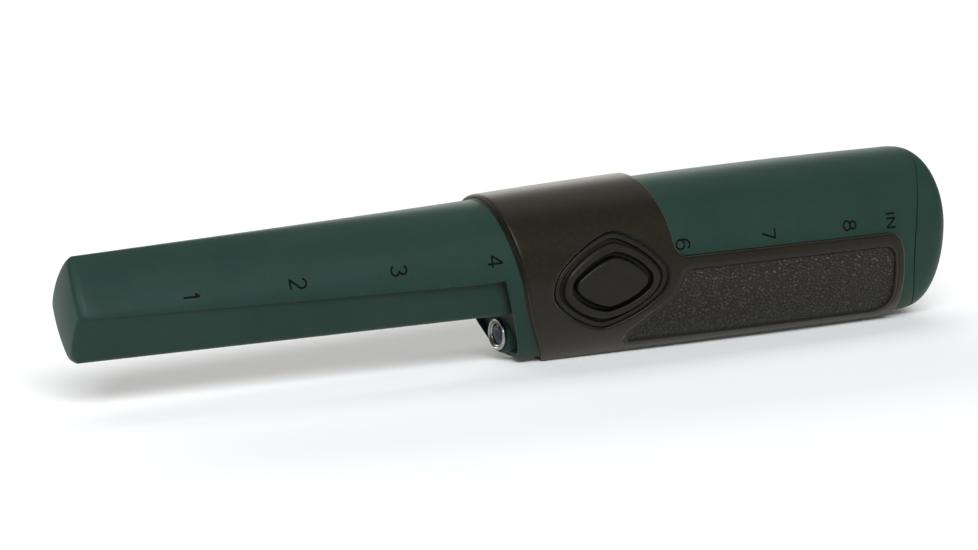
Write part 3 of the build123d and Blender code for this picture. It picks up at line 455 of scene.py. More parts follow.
# outer face follows the handle's skin one rubber thickness up; each free edge is a strip of rows
# square to the edge that rolls down to the shell, and the inside repeats the same grid at the fit
def buildSleeve():
    form = sleeveForm
    top, foot = form["rubber"], form["fit"]
    flank, strip = form["flankLines"], form["stripLines"]
    inset, rise = rolledEdge(top, form["roll"], foot, form["margin"])
    cs, cz, cr = circleThrough(*form["front"])

    def frontEdge(z):
        return cs - np.sqrt(cr ** 2 - (z - cz) ** 2)

    def rearEdge(z):
        return form["rear"] - form["rearLean"] * z

    def endEdge(z):
        return form["end"] - form["endLean"] * z

    # rows of an edge, out to a thin lip on the shell and in over the rolled edge
    def edgeRows(s, q, lip, sense):
        ns, nq = squareStep(s, q, top)
        ns, nq = sense * ns, sense * nq
        ns[[0, -1]], nq[[0, -1]] = sense, 0
        depth = np.concatenate(((-lip, -lip + form["lipEdge"], 0), inset[1:]))[:, None]
        return s + depth * ns, np.clip(q + depth * nq, -2, 1)

    lean = math.atan(form["rearLean"])
    tangent = math.tan(math.pi / 4 - lean / 2)
    # inner corner between the collar and the panel, an arc of the inner radius
    ri, zp = form["innerRadius"], form["panelTop"]
    arcS, arcZ = rearEdge(zp) + ri * tangent, zp + ri
    turn = np.linspace(math.pi + lean, 1.5 * math.pi, form["filletLines"] + 1)[1:]
    filletS, filletZ = arcS + ri * np.cos(turn), arcZ + ri * np.sin(turn)
    lineEnd = arcZ - ri * math.sin(lean)
    qa = np.linspace(1, qAtLevel(rearEdge(lineEnd), lineEnd, top), form["upLines"])
    sa = stationOnEdge(rearEdge, qa, top, form["rear"])
    # panel's top edge, its rounded rear corner and its end
    re = form["endRadius"]
    cornerS, cornerZ = endEdge(zp) - re * tangent, zp - re
    sc = np.linspace(arcS, cornerS, form["panelColumns"])
    turn = np.linspace(math.pi / 2, lean, form["cornerLines"])
    sd, zd = cornerS + re * np.cos(turn), cornerZ + re * np.sin(turn)
    qd = qAtLevel(sd, zd, top)
    qe = ladder((qd[-1], -1, -2), (flank - form["cornerLines"] + 1, strip))[1:]
    se = stationOnEdge(endEdge, qe, top, form["end"])
    parts = [(sa, qa), (filletS, qAtLevel(filletS, filletZ, top)), (sc[1:], qAtLevel(sc[1:], zp, top)),
             (sd[1:], qd[1:]), (se, qe)]
    rearS, rearQ = edgeRows(*(np.concatenate(group) for group in zip(*parts)), form["rearLip"], -1)
    corner = len(sa) + len(filletS) - 1
    last = corner + len(sc) - 1
    # front edge, with as many lines as meet the collar's rear and the panel
    qf = ladder((1, 0, -1, -2), (corner, flank, strip))
    sf = stationOnEdge(frontEdge, qf, top, form["front"][1][0])
    foreS, foreQ = edgeRows(sf, qf, form["frontLip"], 1)
    # collar between the two, and panel behind it
    backS = np.concatenate((rearS[-1, :corner], np.full(flank + strip + 1, rearS[-1, corner])))
    backQ = np.concatenate((rearQ[-1, :corner], ladder((rearQ[-1, corner], -1, -2), (flank, strip))))
    part = np.linspace(0, 1, form["collarColumns"])[:, None]
    collarS, collarQ = mix(foreS[-1], backS, part), mix(foreQ[-1], backQ, part)
    upperS, upperQ = rearS[-1, corner:last + 1], rearQ[-1, corner:last + 1]
    part = ((upperS - upperS[0]) / (upperS[-1] - upperS[0]))[:, None]
    panelS = mix(backS[corner:], rearS[-1, last:], part)
    panelQ = mix(backQ[corner:], rearQ[-1, last:], part)
    panelS[:, 0], panelQ[:, 0] = upperS, upperQ
    # bed under the grained panel, which has its own piece
    outline = roundedOutline(form["inset"], form["insetRadii"], form["insetStep"])

    def bed(s, q):
        depth = signedDistance(outline, s, skin(s, q, top)[1])
        slope = np.clip((form["bedEdge"] - depth) / form["bedSlope"], 0, 1)
        return top - form["bedDepth"] * slope * slope * (3 - 2 * slope)

    collarLift, panelLift = bed(collarS, collarQ), bed(panelS, panelQ)
    # opening round the button, on one side only
    level = skin(collarS, collarQ, top)[1].mean(0)
    block = (form["openFree"][0], form["collarColumns"] - form["openFree"][1],
             *(int(np.argmax(level < z)) for z in form["openLevels"]))
    i, j = blockLoop(block)
    loopS, loopQ, loopLift = collarS[i, j], collarQ[i, j], collarLift[i, j]
    loopZ = skin(loopS, loopQ, loopLift)[1]
    angle = np.arctan2(loopZ - buttonPlace["z"], loopS - buttonPlace["s"])
    rings = [roundButton(buttonPlace["opening"], d, angle) for d in inset]
    ringS, ringZ = (np.array(group) for group in zip(*rings))
    part = np.linspace(0, 1, form["ringRows"])[1:-1, None]
    fillS, fillZ = mix(ringS[-1], loopS, part), mix(ringZ[-1], loopZ, part)
    fillLift = bed(fillS, qAtLevel(fillS, fillZ, top))
    hole = np.concatenate((onSide(ringS, ringZ, rise[:, None]), onSide(fillS, fillZ, fillLift),
                           onSkin(loopS, loopQ, loopLift, -1)[None]))
    # painted shade down each rolled edge, darkest at its foot on the shell and gone at the top; the opening's
    # fill rows have none
    rollShade = np.append(np.minimum(np.linspace(form["rollShade"], 0, len(inset) - 1), 1), 0)[:, None]
    hole = withPaintedShade(hole, np.concatenate((rollShade, np.zeros((len(hole) - len(rollShade), 1)))))
    footS, footZ = mix(ringS[0], loopS, part), mix(ringZ[0], skin(loopS, loopQ, foot)[1], part)
    holeFoot = np.concatenate((onSide(ringS[:1], ringZ[:1], foot), onSide(footS, footZ, foot),
                               onSkin(loopS, loopQ, foot, -1)[None]))
    edgeRollShade = np.concatenate((rollShade[:1], rollShade[:1], rollShade))
    edgeRise = np.concatenate(((foot,), (form["lipHeight"],) * 2, rise[1:]))[:, None]
    grids = [hole, holeFoot]
    for side in (-1, 1):
        for s, q, lift, depth in ((foreS, foreQ, edgeRise, edgeRollShade), (rearS, rearQ, edgeRise, edgeRollShade),
                                  (panelS, panelQ, panelLift, 0)):
            grids += [withPaintedShade(onSkin(s, q, lift, side), depth), onSkin(s, q, foot, side)]
        for lift in (collarLift, foot):
            collar = onSkin(collarS, collarQ, lift, side)
            grids += aroundBlock(collar, block) if side < 0 else [collar]
    makePiece("grip_sleeve_moulding", grids, "body", "grip_rubber", ("grip_sleeve",))


buildSleeve()


# reach, step and the painted shade go together: how far out from the outline each ring lies, how far above the
# sleeve's face, and the painted shade on it
grainForm = {
    "columns": 320, "lines": 98, "under": 0.3, "outlineStep": 0.05, "corners": [0, 3, 4, 5],
    "pebble": 1.0, "pebbleHeight": 0.42, "pebbleMiddle": 0.4, "pebbleSteep": 1.5, "squeeze": 1.15,
    "waver": 0.4, "waveLevel": 1.7, "waveStation": 1.3, "floorStep": 0.5, "floorFade": 0.1,
    "reach": (1.0, 0.8, 0.6, 0.4, 0.2, 0.08, 0.0, -0.06, -0.12, -0.2, -0.32, -0.55, -0.85, -1.2),
    "step": (-0.12, -0.03, 0.0, 0.005, 0.005, -0.01, -0.07, -0.2, -0.4, -0.55, -0.6, -0.6, -0.6, -0.6),
    "paintedShade": (0.75, 0.75, 0.75, 0.75, 0.75, 0.8, 0.9, 1, 1, 1, 0.9, 0.6, 0.2, 0),
    "backShares": (0, 0.02, 0.3, 0.65, 1),
    "scatter": ((127.1, 311.7), (269.5, 183.3)), "scatterSize": 43758.5453, "far": 9.0,
}


# pebbles: one point in each square, scattered by the fraction of a large sine of the square's
# numbers; height is the gap between the nearest point and the second nearest
def pebbles(u, v):
    form = grainForm
    u, v = u / form["pebble"], v / form["pebble"]
    first = second = np.full(u.shape, form["far"])
    for du, dv in np.ndindex(3, 3):
        cu, cv = np.floor(u) + du - 1, np.floor(v) + dv - 1
        hu, hv = (np.modf(np.abs(np.sin(cu * a + cv * b) * form["scatterSize"]))[0]
                  for a, b in form["scatter"])
        d = np.hypot(cu + hu - u, cv + hv - v)
        second = np.minimum(second, np.maximum(first, d))
        first = np.minimum(first, d)
    return second - first


# outline cut at four of its corners into sides of equal steps, anticlockwise from the first
def fourSides(outline, corners, counts):
    at = [int(np.argmin(np.hypot(*(outline - corner).T))) for corner in corners]
    sides = []
    for start, stop, count in zip(at, at[1:] + at[:1], counts):
        line = np.roll(outline, -start, 0)[:(stop - start) % len(outline) + 1]
        run = runAlong(line)
        sides.append(pointsAt(line, run, np.linspace(0, run[-1], count + 1)[:-1]))
    return np.concatenate(sides)


# grained panel: rings of rows step down from the sleeve's face along the outline, and the middle is
# the blend of the last ring's four sides, with pebbles of the two nearest scattered points
def buildGrain():
    form, top = grainForm, sleeveForm["rubber"]
    n, m = form["columns"], form["lines"]
    outline = roundedOutline(sleeveForm["inset"], sleeveForm["insetRadii"], form["outlineStep"])
    loop = fourSides(outline, np.array(sleeveForm["inset"])[form["corners"]], (m, n, m, n))
    ahead = np.roll(loop, -1, 0) - np.roll(loop, 1, 0)
    out = np.stack((ahead[:, 1], -ahead[:, 0]), -1) / np.linalg.norm(ahead, axis=1)[:, None]
    ring = loop + np.array(form["reach"])[:, None, None] * out
    ring = np.concatenate((ring, ring[:, :1]), 1)
    last = ring[-1]
    left, bottom = last[:m + 1][::-1], last[m:m + n + 1]
    right, upper = last[m + n:2 * m + n + 1], last[2 * m + n:][::-1]
    u, v = np.linspace(0, 1, n + 1)[:, None, None], np.linspace(0, 1, m + 1)[None, :, None]
    middle = ((1 - v) * bottom[:, None] + v * upper[:, None] + (1 - u) * left[None] + u * right[None]
              - (1 - u) * (1 - v) * bottom[0] - u * (1 - v) * bottom[-1]
              - (1 - u) * v * upper[0] - u * v * upper[-1])

    def raised(points, step):
        s, z = points[..., 0], points[..., 1]
        stone = pebbles(s + form["waver"] * np.sin(form["waveLevel"] * z),
                        z * form["squeeze"] + form["waver"] * np.sin(form["waveStation"] * s))
        stone = np.clip(stone * form["pebbleSteep"], 0, 1)
        share = np.clip((-step - form["floorStep"]) / form["floorFade"], 0, 1)
        lift = top + step + form["pebbleHeight"] * share * (stone - form["pebbleMiddle"])
        # painted shade in the valleys between pebbles, on the panel's floor only
        return (s, qAtLevel(s, z, top), lift), share * (1 - stone)

    rings, ringShade = raised(ring, np.array(form["step"])[:, None])
    fill, fillShade = raised(middle, np.array(form["step"][-1]))
    # painted shade along the step down from the sleeve's face to the floor
    ringShade = np.maximum(ringShade, np.array(form["paintedShade"])[:, None])
    # underside, drawn in to the line halfway between bottom and top
    spine = (bottom + upper) / 2
    target = np.concatenate((np.repeat(spine[:1], m, 0), spine[:-1],
                             np.repeat(spine[-1:], m, 0), spine[::-1]))
    target[-1] = target[0]
    back = mix(ring[0], target, np.array(form["backShares"])[:, None, None])
    backLift = np.full((len(back), 1), form["under"])
    backLift[0] = top + form["step"][0]
    under = (back[..., 0], qAtLevel(back[..., 0], back[..., 1], top), backLift)
    grids = []
    for side in (-1, 1):
        grids += [withPaintedShade(onSkin(*rings, side), ringShade), withPaintedShade(onSkin(*fill, side), fillShade),
                  onSkin(*under, side)]
    makePiece("grip_panel_grain", grids, "body", "grip_rubber", ("grip_sleeve",), "grip_grain", sharp=70)


buildGrain()


# well's steps are the bore's radius, the share of the turn from outside to inside, and the side
housingForm = {
    "shoulder": 103.2, "lean": 0.45,
    "tip": {"width": 9.2, "rise": 12.8, "keel": 8.75, "floor": 2.1, "drop": 11.0, "arch": 0.18, "level": 0.6},
    "root": {"width": 16.0, "rise": 16.65, "keel": 14.6, "floor": 9.8, "drop": 10.0, "arch": 0.5523,
             "level": 0.0},
    "keelRadius": 2.2, "floorLeast": 0.5, "floorSpare": 0.1, "crownRadius": 50.0, "crownLevel": 1.1,
    "bevelInset": 1.25, "bevelReach": 2.5, "bevelRound": 1.3,
    "lipShare": 0.3, "lipLeast": 0.05, "lipEnd": 5.0,
    "wall": 2.4, "tipWall": 3.6, "innerRadius": 0.6, "roomDrop": 18.6, "roomFlat": 4.0, "roomEnd": 210.0,
    "roomWidth": (13.6, 15.4), "roomRise": (14.25, 15.8), "roomFullness": (0.15, 0.55),
    "rim": 0.6, "rimFade": 0.2, "recess": 1.5, "recessLip": 0.7, "recessSlope": 1.1, "recessFade": 0.1,
    "recessLeast": 0.4, "recessGrowth": 3.5, "recessNarrow": 3.2,
    # recessShade and keelShade are painted shade: on the front wall's hollow, and on the probe's underside
    # where it meets that wall
    "recessSteps": (0, 0.35, 0.7, 0.95, 1.2, 1.5, 1.8), "recessShade": 0.8, "keelShade": 0.75,
    "seamAt": 224.2, "seamRadius": 33.0, "seamLevel": -1.5, "seamLip": 0.35,
    "wellMargin": 0.4, "wellChamfer": 0.15, "wellFloor": -1.2, "wellBore": (2.05, 0.2),
    "wellSteps": ((2.05, 0.3, -13.48), (3.2, 0.4, -13.48), (3.2, 0.6, -12.38), (4.5, 0.8, -12.38)),
    "wellFoot": (4.5, 1.0), "outerShares": (0.3, 0.6, 0.85), "innerShares": (0.0, 0.3, 0.65),
    "blockRow": 20, "blockLength": 12.5, "blockHeight": 9.5,
    "upLines": 30, "flankLines": 40, "stripLines": 8, "lipLines": 4, "keelLines": (26, 8, 14), "rows": 76,
    "rollRows": 7, "crownRows": 11, "bevelRows": 10, "probeRows": 34, "innerRows": 24, "endRows": 5,
    "stepRows": 4, "seamRows": 5,
}


# probe size at a station, straight from tip to shoulder
def probeSize(key, s):
    form = housingForm
    return form["tip"][key] + (form["root"][key] - form["tip"][key]) * s / form["shoulder"]


# upper half of the probe's section: the handle's quarter ellipse at the shoulder, a steeper arch
# towards the tip, where the widest line also lies a little higher
def probeSkin(s, q, lift=0.0):
    w, k = probeSize("width", s) + lift, probeSize("arch", s)
    level = np.maximum(probeSize("level", s), 0)
    t = probeSize("rise", s) + lift - level
    return cubic(w, w, k * w, 0, q), level + cubic(0, k * t, t, t, q)


# underside of the probe from the ledge to the middle: straight flank, rounded edge, flat floor
def keelPath(s, inset, start, radius):
    form = housingForm
    flankPart, edgePart, floorPart = (np.linspace(0, 1, n + 1) for n in form["keelLines"])
    k, f, d = (probeSize(key, s) - inset for key in ("keel", "floor", "drop"))
    f = np.maximum(f, form["floorLeast"])
    size = np.hypot(k - f, d)
    uy, uz = (k - f) / size, d / size
    half = np.arccos(-uy) / 2
    radius = np.minimum(radius, (f - form["floorSpare"]) * np.tan(half))
    tangent = radius / np.tan(half)
    cy, cz = f - tangent, -d + radius
    flank = (mix(mix(k, f, -start / d), f + uy * tangent, flankPart),
             mix(start, -d + uz * tangent, flankPart))
    turn = mix(-np.arctan2(uy, uz), -math.pi / 2, edgePart[1:])
    edge = (cy + radius * np.cos(turn), cz + radius * np.sin(turn))
    floor = (cy * (1 - floorPart[1:]), -d + 0 * cy * floorPart[1:])
    return tuple(np.concatenate(group, -1) for group in zip(flank, edge, floor))


# half a section of the probe from the top to the middle of its underside; the corner of the ledge
# is a quarter circle, and the inset draws the whole section in towards the tip
def probeLoop(s, inset, ledge):
    form = housingForm
    w, level = probeSize("width", s) - inset, np.maximum(probeSize("level", s), 0)
    upper = probeSkin(s, np.linspace(1, 0, form["upLines"] + 1), -inset)
    lip = form["lipShare"] * (probeSize("width", s) - probeSize("keel", s)) + form["lipLeast"]
    lip = lip * np.clip((form["shoulder"] - s) / form["lipEnd"], 0, 1)
    turn = np.linspace(0, math.pi / 2, form["lipLines"] + 1)[1:]
    corner = (w - lip * (1 - np.cos(turn)), level - lip * np.sin(turn))
    under = keelPath(s, inset, level - lip, form["keelRadius"])
    shelf = (w - lip + ledge * (under[0][..., :1] - w + lip), level - lip + 0 * ledge)
    under = tuple(a[..., 1:] for a in under)
    return tuple(np.concatenate(group, -1) for group in zip(upper, corner, shelf, under))


# of loops taken at every column's station, each column at its own
def ownColumn(loops):
    return [np.einsum("...cc->...c", a) for a in loops]


# section of the room inside the handle, wider and fuller towards the rear; it has no use for a lift
def roomSkin(s, q, lift=0.0):
    form = housingForm
    s, q = np.broadcast_arrays(np.asarray(s, float), np.asarray(q, float))
    t = np.clip((s - form["shoulder"]) / (form["roomEnd"] - form["shoulder"]), 0, 1)
    w, top, full = (mix(*form[key], t) for key in ("roomWidth", "roomRise", "roomFullness"))
    flat = form["roomFlat"]
    return section(q, w, top, form["roomDrop"], flat, mix(flat, w, full), full)


# shell of the probe and handle: sections carried along the part, a raked and hollowed front wall
# between the probe's underside and the handle's rim, a rounded lip at the curved rear seam, and the
# room inside, joined to the outside by the seam's face and by the button's well and bore
def buildHousing():
    form = housingForm
    shoulder, low = form["shoulder"], form["upLines"]

    def frontPlane(z):
        return shoulder - form["lean"] * np.minimum(z, 0)

    def seamEdge(z):
        radius = form["seamRadius"]
        return form["seamAt"] + radius - np.sqrt(radius ** 2 - (z - form["seamLevel"]) ** 2)

    # even values from 0, one to a row
    def rowValues(key, stop=1.0):
        return np.linspace(0, stop, form[key])[:, None]

    q = ladder((1, 0, -1, -2), (low, form["flankLines"], form["stripLines"]))
    # handle outside
    rim, lip = form["rim"] * np.clip(-q / form["rimFade"], 0, 1), form["seamLip"]
    foreS = stationOnEdge(frontPlane, q, -rim, shoulder)
    rearS = stationOnEdge(seamEdge, q, 0.0, form["seamAt"])
    turn, part = rowValues("rollRows", math.pi / 2), rowValues("rows")[1:-1]
    s = np.concatenate((foreS + rim * (1 - np.cos(turn)), foreS + rim + part * (rearS - lip - foreS - rim),
                        rearS - lip * (1 - np.sin(turn))))
    lift = np.concatenate((-rim * (1 - np.sin(turn)), 0 * part * q, -lip * (1 - np.cos(turn)) + 0 * q))
    # handle inside, with the same lines and rows
    frontIn = form["wall"] * math.hypot(1, form["lean"])
    foreIn = np.full(q.shape, shoulder)
    for step in range(solving["settles"]):
        foreIn = frontPlane(roomSkin(foreIn, q)[1]) + np.where(q < 0, frontIn, 0)
    rearIn = seamEdge(roomSkin(form["seamAt"], q)[1])
    sIn = mix(foreIn, rearIn, rowValues("rows"))
    # front wall between the rim and the probe's underside
    rimY, rimZ = skin(foreS[low:], q[low:], -rim[low:])
    fade = np.clip(-q[low:] / form["recessFade"], 0, 1)
    keelS = np.full(len(fade), shoulder)
    for step in range(solving["settles"]):
        keelY, keelZ = ownColumn(keelPath(keelS[:, None], 0.0, 0.0, form["keelRadius"]))
        width = np.hypot(rimY - keelY, rimZ - keelZ)
        growth = np.clip((width - form["recessLeast"]) / form["recessGrowth"], 0, 1)
        hollow = form["recess"] * growth * fade
        keelS = frontPlane(keelZ) + hollow
    narrow = np.minimum(1, width / form["recessNarrow"])
    steps = np.array(form["recessSteps"])[:, None] * narrow
    distance = np.concatenate((steps, (steps[-1:] + width) / 2, width[None]))
    share = distance / width
    wallY, wallZ = mix(rimY, keelY, share), mix(rimZ, keelZ, share)
    slope = np.clip((distance - form["recessLip"] * narrow) / (form["recessSlope"] * narrow), 0, 1)
    wallS = frontPlane(wallZ) + hollow * slope * slope * (3 - 2 * slope)
    wallS[-1] = keelS
    ledge = share[1:, 0]
    # probe outside: crown, rounded bevel, then straight sections back to the shoulder or the front wall
    bevelEnd, crown, radius = form["bevelReach"], form["crownLevel"], form["crownRadius"]
    rimLoop = probeLoop(np.full((1, 1), bevelEnd), form["bevelInset"], ledge)
    grow = rowValues("crownRows")
    crownY, crownZ = rimLoop[0] * grow, mix(crown, rimLoop[1], grow)
    crownS = radius - np.sqrt(radius ** 2 - crownY ** 2 - (crownZ - crown) ** 2)
    turn, power = rowValues("bevelRows", math.pi / 2)[1:], 2 / form["bevelRound"]
    bevelIn = form["bevelInset"] * (1 - np.sin(turn) ** power)
    bevelS = mix(crownS[-1], bevelEnd, 1 - np.cos(turn) ** power)
    bevelY, bevelZ = probeLoop(np.full(bevelIn.shape, bevelEnd), bevelIn, ledge)
    end = np.full(bevelY.shape[1], shoulder)
    end[-len(keelS):] = keelS
    bodyS = mix(bevelEnd, end, rowValues("probeRows")[1:])
    bodyY, bodyZ = ownColumn(probeLoop(bodyS[..., None], 0.0, ledge))
    probe = [np.concatenate(group) for group in
             ((crownS, bevelS, bodyS), (crownY, bevelY, bodyY), (crownZ, bevelZ, bodyZ))]
    # painted shade on the last row of the probe's underside, where it meets the front wall
    probeShade = np.zeros(probe[0].shape)
    probeShade[-1, -len(keelS):] = form["keelShade"] * fade
    # probe inside
    startS = np.concatenate((np.full(low + 1, shoulder), frontPlane(keelZ[1:]) + frontIn))
    inS = mix(startS, form["tipWall"], rowValues("innerRows"))
    upper = probeSkin(inS[:, :low + 1], q[:low + 1], -form["wall"])
    under = ownColumn(keelPath(inS[:, low:, None], form["wall"], 0.0, form["innerRadius"]))
    shrink = 1 - rowValues("endRows")[1:]
    inY, inZ = (np.concatenate((a, b[:, 1:]), -1) for a, b in zip(upper, under))
    inY, inZ = (np.concatenate((a, a[-1] * shrink)) for a in (inY, inZ))
    inS = np.concatenate((inS, np.full((len(shrink), len(startS)), form["tipWall"])))
    # wall between the two rooms
    step = [mix(a, b[0], rowValues("stepRows"))
            for a, b in zip((foreIn, *roomSkin(foreIn, q)), (inS, inY, inZ))]
    # seam's face
    faceY, faceZ = (mix(a, b, rowValues("seamRows"))
                    for a, b in zip(skin(s[-1], q, lift[-1]), roomSkin(rearIn, q)))
    faceS = seamEdge(faceZ)
    faceS[0], faceS[-1] = s[-1], rearIn
    # button's well, bore and boss, from the outside to the inside
    z0, s0 = buttonPlace["z"], buttonPlace["s"]
    level = skin(s[form["blockRow"]], q)[1]
    j0, j1 = (int(np.argmax(level < z0 + d)) for d in (form["blockHeight"], -form["blockHeight"]))
    i0 = int(np.flatnonzero((s[:, j0:j1] < s0 - form["blockLength"]).all(1))[-1])
    i1 = int(np.flatnonzero((s[:, j0:j1] > s0 + form["blockLength"]).all(1))[0])
    first = form["rollRows"] - 1
    block, blockIn = (i0, i1, j0, j1), (i0 - first, i1 - first, j0, j1)
    i, j = blockLoop(block)
    outS, outQ = s[i, j], q[j]
    outZ = skin(outS, outQ)[1]
    i, j = blockLoop(blockIn)
    innS = sIn[i, j]
    innY, innZ = roomSkin(innS, q[j])
    turnOut, turnIn = np.arctan2(outZ - z0, outS - s0), np.arctan2(innZ - z0, innS - s0)
    turnIn = turnOut + (turnIn - turnOut + math.pi) % (2 * math.pi) - math.pi

    def ring(radius, share):
        angle = mix(turnOut, turnIn, share)
        return s0 + radius * np.cos(angle), z0 + radius * np.sin(angle)

    margin, chamfer = form["wellMargin"], form["wellChamfer"]
    edge, wall = (roundButton(buttonPlace["cap"], grow, turnOut) for grow in (margin + chamfer, margin))
    well = [onSkin(outS, outQ, 0.0, -1)]
    well += [onSide(mix(outS, edge[0], t), mix(outZ, edge[1], t), 0.0) for t in form["outerShares"]]
    well += [onSide(*edge, 0.0), onSide(*wall, -chamfer), onSide(*wall, form["wellFloor"]),
             onSide(*ring(*form["wellBore"]), form["wellFloor"])]
    for radius, share, y in form["wellSteps"]:
        ringS, ringZ = ring(radius, share)
        well.append(place(ringS, y, ringZ))
    footS, footZ = ring(*form["wellFoot"])
    well += [onSide(mix(footS, innS, t), mix(footZ, innZ, t), 0.0, roomSkin) for t in form["innerShares"]]
    well.append(place(innS, -innY, innZ))
    grids = [np.stack(well)]
    roomY, roomZ = roomSkin(sIn, q)
    for side in (-1, 1):
        outside, inside = onSkin(s, q, lift, side), place(sIn, side * roomY, roomZ)
        grids += aroundBlock(outside, block) + aroundBlock(inside, blockIn) if side < 0 else [outside, inside]
        # the probe's underside and the front wall's hollow carry painted shade
        for (a, y, z), depth in ((probe, probeShade),
                                 ((wallS, wallY, wallZ), form["recessShade"] * slope * fade),
                                 ((inS, inY, inZ), 0), (step, 0), ((faceS, faceY, faceZ), 0)):
            grids.append(withPaintedShade(place(a, side * y, z), depth))
    makePiece("housing_shell", grids, "body", "green_shell", ("housing",))


buildHousing()


# each foot's rows are a step out, a step up and a painted shade
bezelForm = {
    "gap": 0.4, "shelf": 0.8, "shelfWidth": 1.2, "shelfRoll": 0.3, "shelfShade": 0.1, "trough": 0.12,
    "foot": 0.05, "groove": 1.4, "ridge": 1.9, "ridgeHeight": 1.5, "ridgeRoll": 0.6, "ridgeSteps": 8,
    "innerRoll": 0.35, "innerShade": 0.9, "lip": 0.12, "lipReach": 0.5, "lines": 288,
    "shelfFoot": ((-0.05, 0.15, 0.8), (-0.2, 0.0, 1)), "ridgeFoot": ((0.2, 0.0, 1), (0.04, 0.12, 0.7)),
}


# ring of rows round the button, each an outline at its own height above the skin: shelf beside the
# sleeve, trough, rounded ridge, and a thin lip that runs in under the cap's edge; each row has a
# painted shade, dark in the trough, the groove and under the lip
def buildBezel():
    form = bezelForm
    angle = np.linspace(-math.pi, math.pi, form["lines"] + 1)
    opening, cap = buttonPlace["opening"], buttonPlace["cap"]
    gap, foot, trough, groove = form["gap"], form["foot"], form["trough"], form["groove"]
    rows = [(opening, -gap, foot, 1)]
    across, up = quarterRoll(form["shelfRoll"])
    up = form["shelf"] - form["shelfRoll"] + up
    edge = -gap - form["shelfWidth"]
    rows += [(opening, -gap - a, u, 0) for a, u in zip(across, up)]
    rows += [(opening, edge + a, u, form["shelfShade"]) for a, u in zip(across[::-1], up[::-1])]
    rows += [(opening, edge + a, trough + u, shade) for a, u, shade in form["shelfFoot"]]
    edge = groove + form["ridge"]
    rows += [(cap, edge + a, trough + u, shade) for a, u, shade in form["ridgeFoot"]]
    across, up = quarterRoll(form["ridgeRoll"], form["ridgeSteps"])
    rows += [(cap, edge - a, form["ridgeHeight"] - form["ridgeRoll"] + u, 0) for a, u in zip(across, up)]
    across, up = quarterRoll(form["innerRoll"])
    dark = form["innerShade"]
    rows += [(cap, groove + a, form["ridgeHeight"] - form["innerRoll"] + u, dark - u / form["innerRoll"] * dark)
             for a, u in zip(across[::-1], up[::-1])]
    rows += [(cap, groove, form["lip"], 1), (cap, form["lipReach"], form["lip"], 1),
             (cap, form["lipReach"], foot, 1), (opening, -gap, foot, 1)]
    grid = np.stack([onSide(*roundButton(outline, grow, angle), lift)
                     for outline, grow, lift, shade in rows])
    shades = np.array([row[-1] for row in rows])[:, None]
    makePiece("button_bezel_ring", [withPaintedShade(grid, shades)], "body", "button_black", ("button_bezel",))


capForm = {
    "height": 1.6, "underside": -0.2, "roll": 0.5, "rollSteps": 8, "crown": 0.12, "stem": 2.0,
    "stemEnd": -12.35, "lines": 288, "rows": 12, "darkRows": 5,
}


# push button: outline rolled over at its edge, a face that swells a little to the middle, and
# below it the round stem that reaches in to the switch
def buildCap():
    form, cap = capForm, buttonPlace["cap"]
    angle = np.linspace(-math.pi, math.pi, form["lines"] + 1)
    s0, z0 = buttonPlace["s"], buttonPlace["z"]
    face = form["height"] - form["crown"]
    topS, topZ = roundButton(cap, -form["roll"], angle)
    rows = [onSide(mix(s0, topS, share), mix(z0, topZ, share), face + form["crown"] * (1 - share ** 2))
            for share in np.linspace(0, 1, form["rows"])[:-1]]
    across, up = quarterRoll(form["roll"], form["rollSteps"])
    rows += [onSide(*roundButton(cap, -a, angle), face - form["roll"] + u)
             for a, u in zip(across[::-1], up[::-1])]
    stemS, stemZ = s0 + form["stem"] * np.cos(angle), z0 + form["stem"] * np.sin(angle)
    rows += [onSide(*roundButton(cap, 0.0, angle), form["underside"]),
             onSide(stemS, stemZ, form["underside"]), place(stemS, form["stemEnd"], stemZ),
             place(s0 + 0 * angle, form["stemEnd"], z0)]
    # painted shade from the foot of the rolled edge down the underside and the stem
    depth = np.zeros((len(rows), 1))
    depth[-form["darkRows"]:] = 1
    makePiece("button_cap_face", [withPaintedShade(np.stack(rows), depth)], "button", "button_black", ("button_cap",))


buildBezel()
buildCap()


# profiles are station and radius, and the ring's also a painted shade, dark in its groove and bore
lightForm = {
    "level": -16.7, "lines": 96,
    "boss": ((118.0, 0.0), (118.0, 4.6), (111.1, 4.6), (110.87, 4.55), (110.68, 4.4), (110.6, 4.15),
             (110.6, 3.2), (117.4, 3.2), (117.4, 0.0)),
    "ring": ((114.8, 3.15, 1), (110.62, 3.15, 1), (110.62, 3.62, 1), (110.4, 3.8, 0.3), (110.1, 3.85, 0),
             (109.84, 3.82, 0), (109.68, 3.72, 0), (109.62, 3.55, 0), (109.66, 3.36, 0), (109.78, 3.22, 0.1),
             (109.94, 3.14, 0.9), (109.98, 3.05, 0.9), (109.88, 2.94, 0.1), (109.9, 2.82, 0),
             (110.02, 2.68, 0.1), (110.3, 2.58, 0.6), (110.6, 2.55, 1), (114.8, 2.55, 1), (114.8, 3.15, 1)),
    "lens": ((111.5, 0.0), (111.5, 2.5), (110.5, 2.5), (110.32, 2.42), (110.16, 2.15), (110.06, 1.6),
             (110.0, 0.8), (109.99, 0.0)),
}


# profile of station and radius, and of painted shade where given, turned round the light's axis
def turned(profile):
    s, r, depth = np.array([(tuple(p) + (0,))[:3] for p in profile]).T[..., None]
    angle = np.linspace(0, 2 * math.pi, lightForm["lines"] + 1)
    return [withPaintedShade(place(s, r * np.cos(angle), lightForm["level"] + r * np.sin(angle)), depth)]


makePiece("light_boss", turned(lightForm["boss"]), "body", "green_shell", ("housing",), sharp=35)
makePiece("light_ring", turned(lightForm["ring"]), "body", "silver_ring", ("led_bezel",), sharp=40)
makePiece("light_lens", turned(lightForm["lens"]), "body", "clear_lens", ("led_lens",), sharp=40)


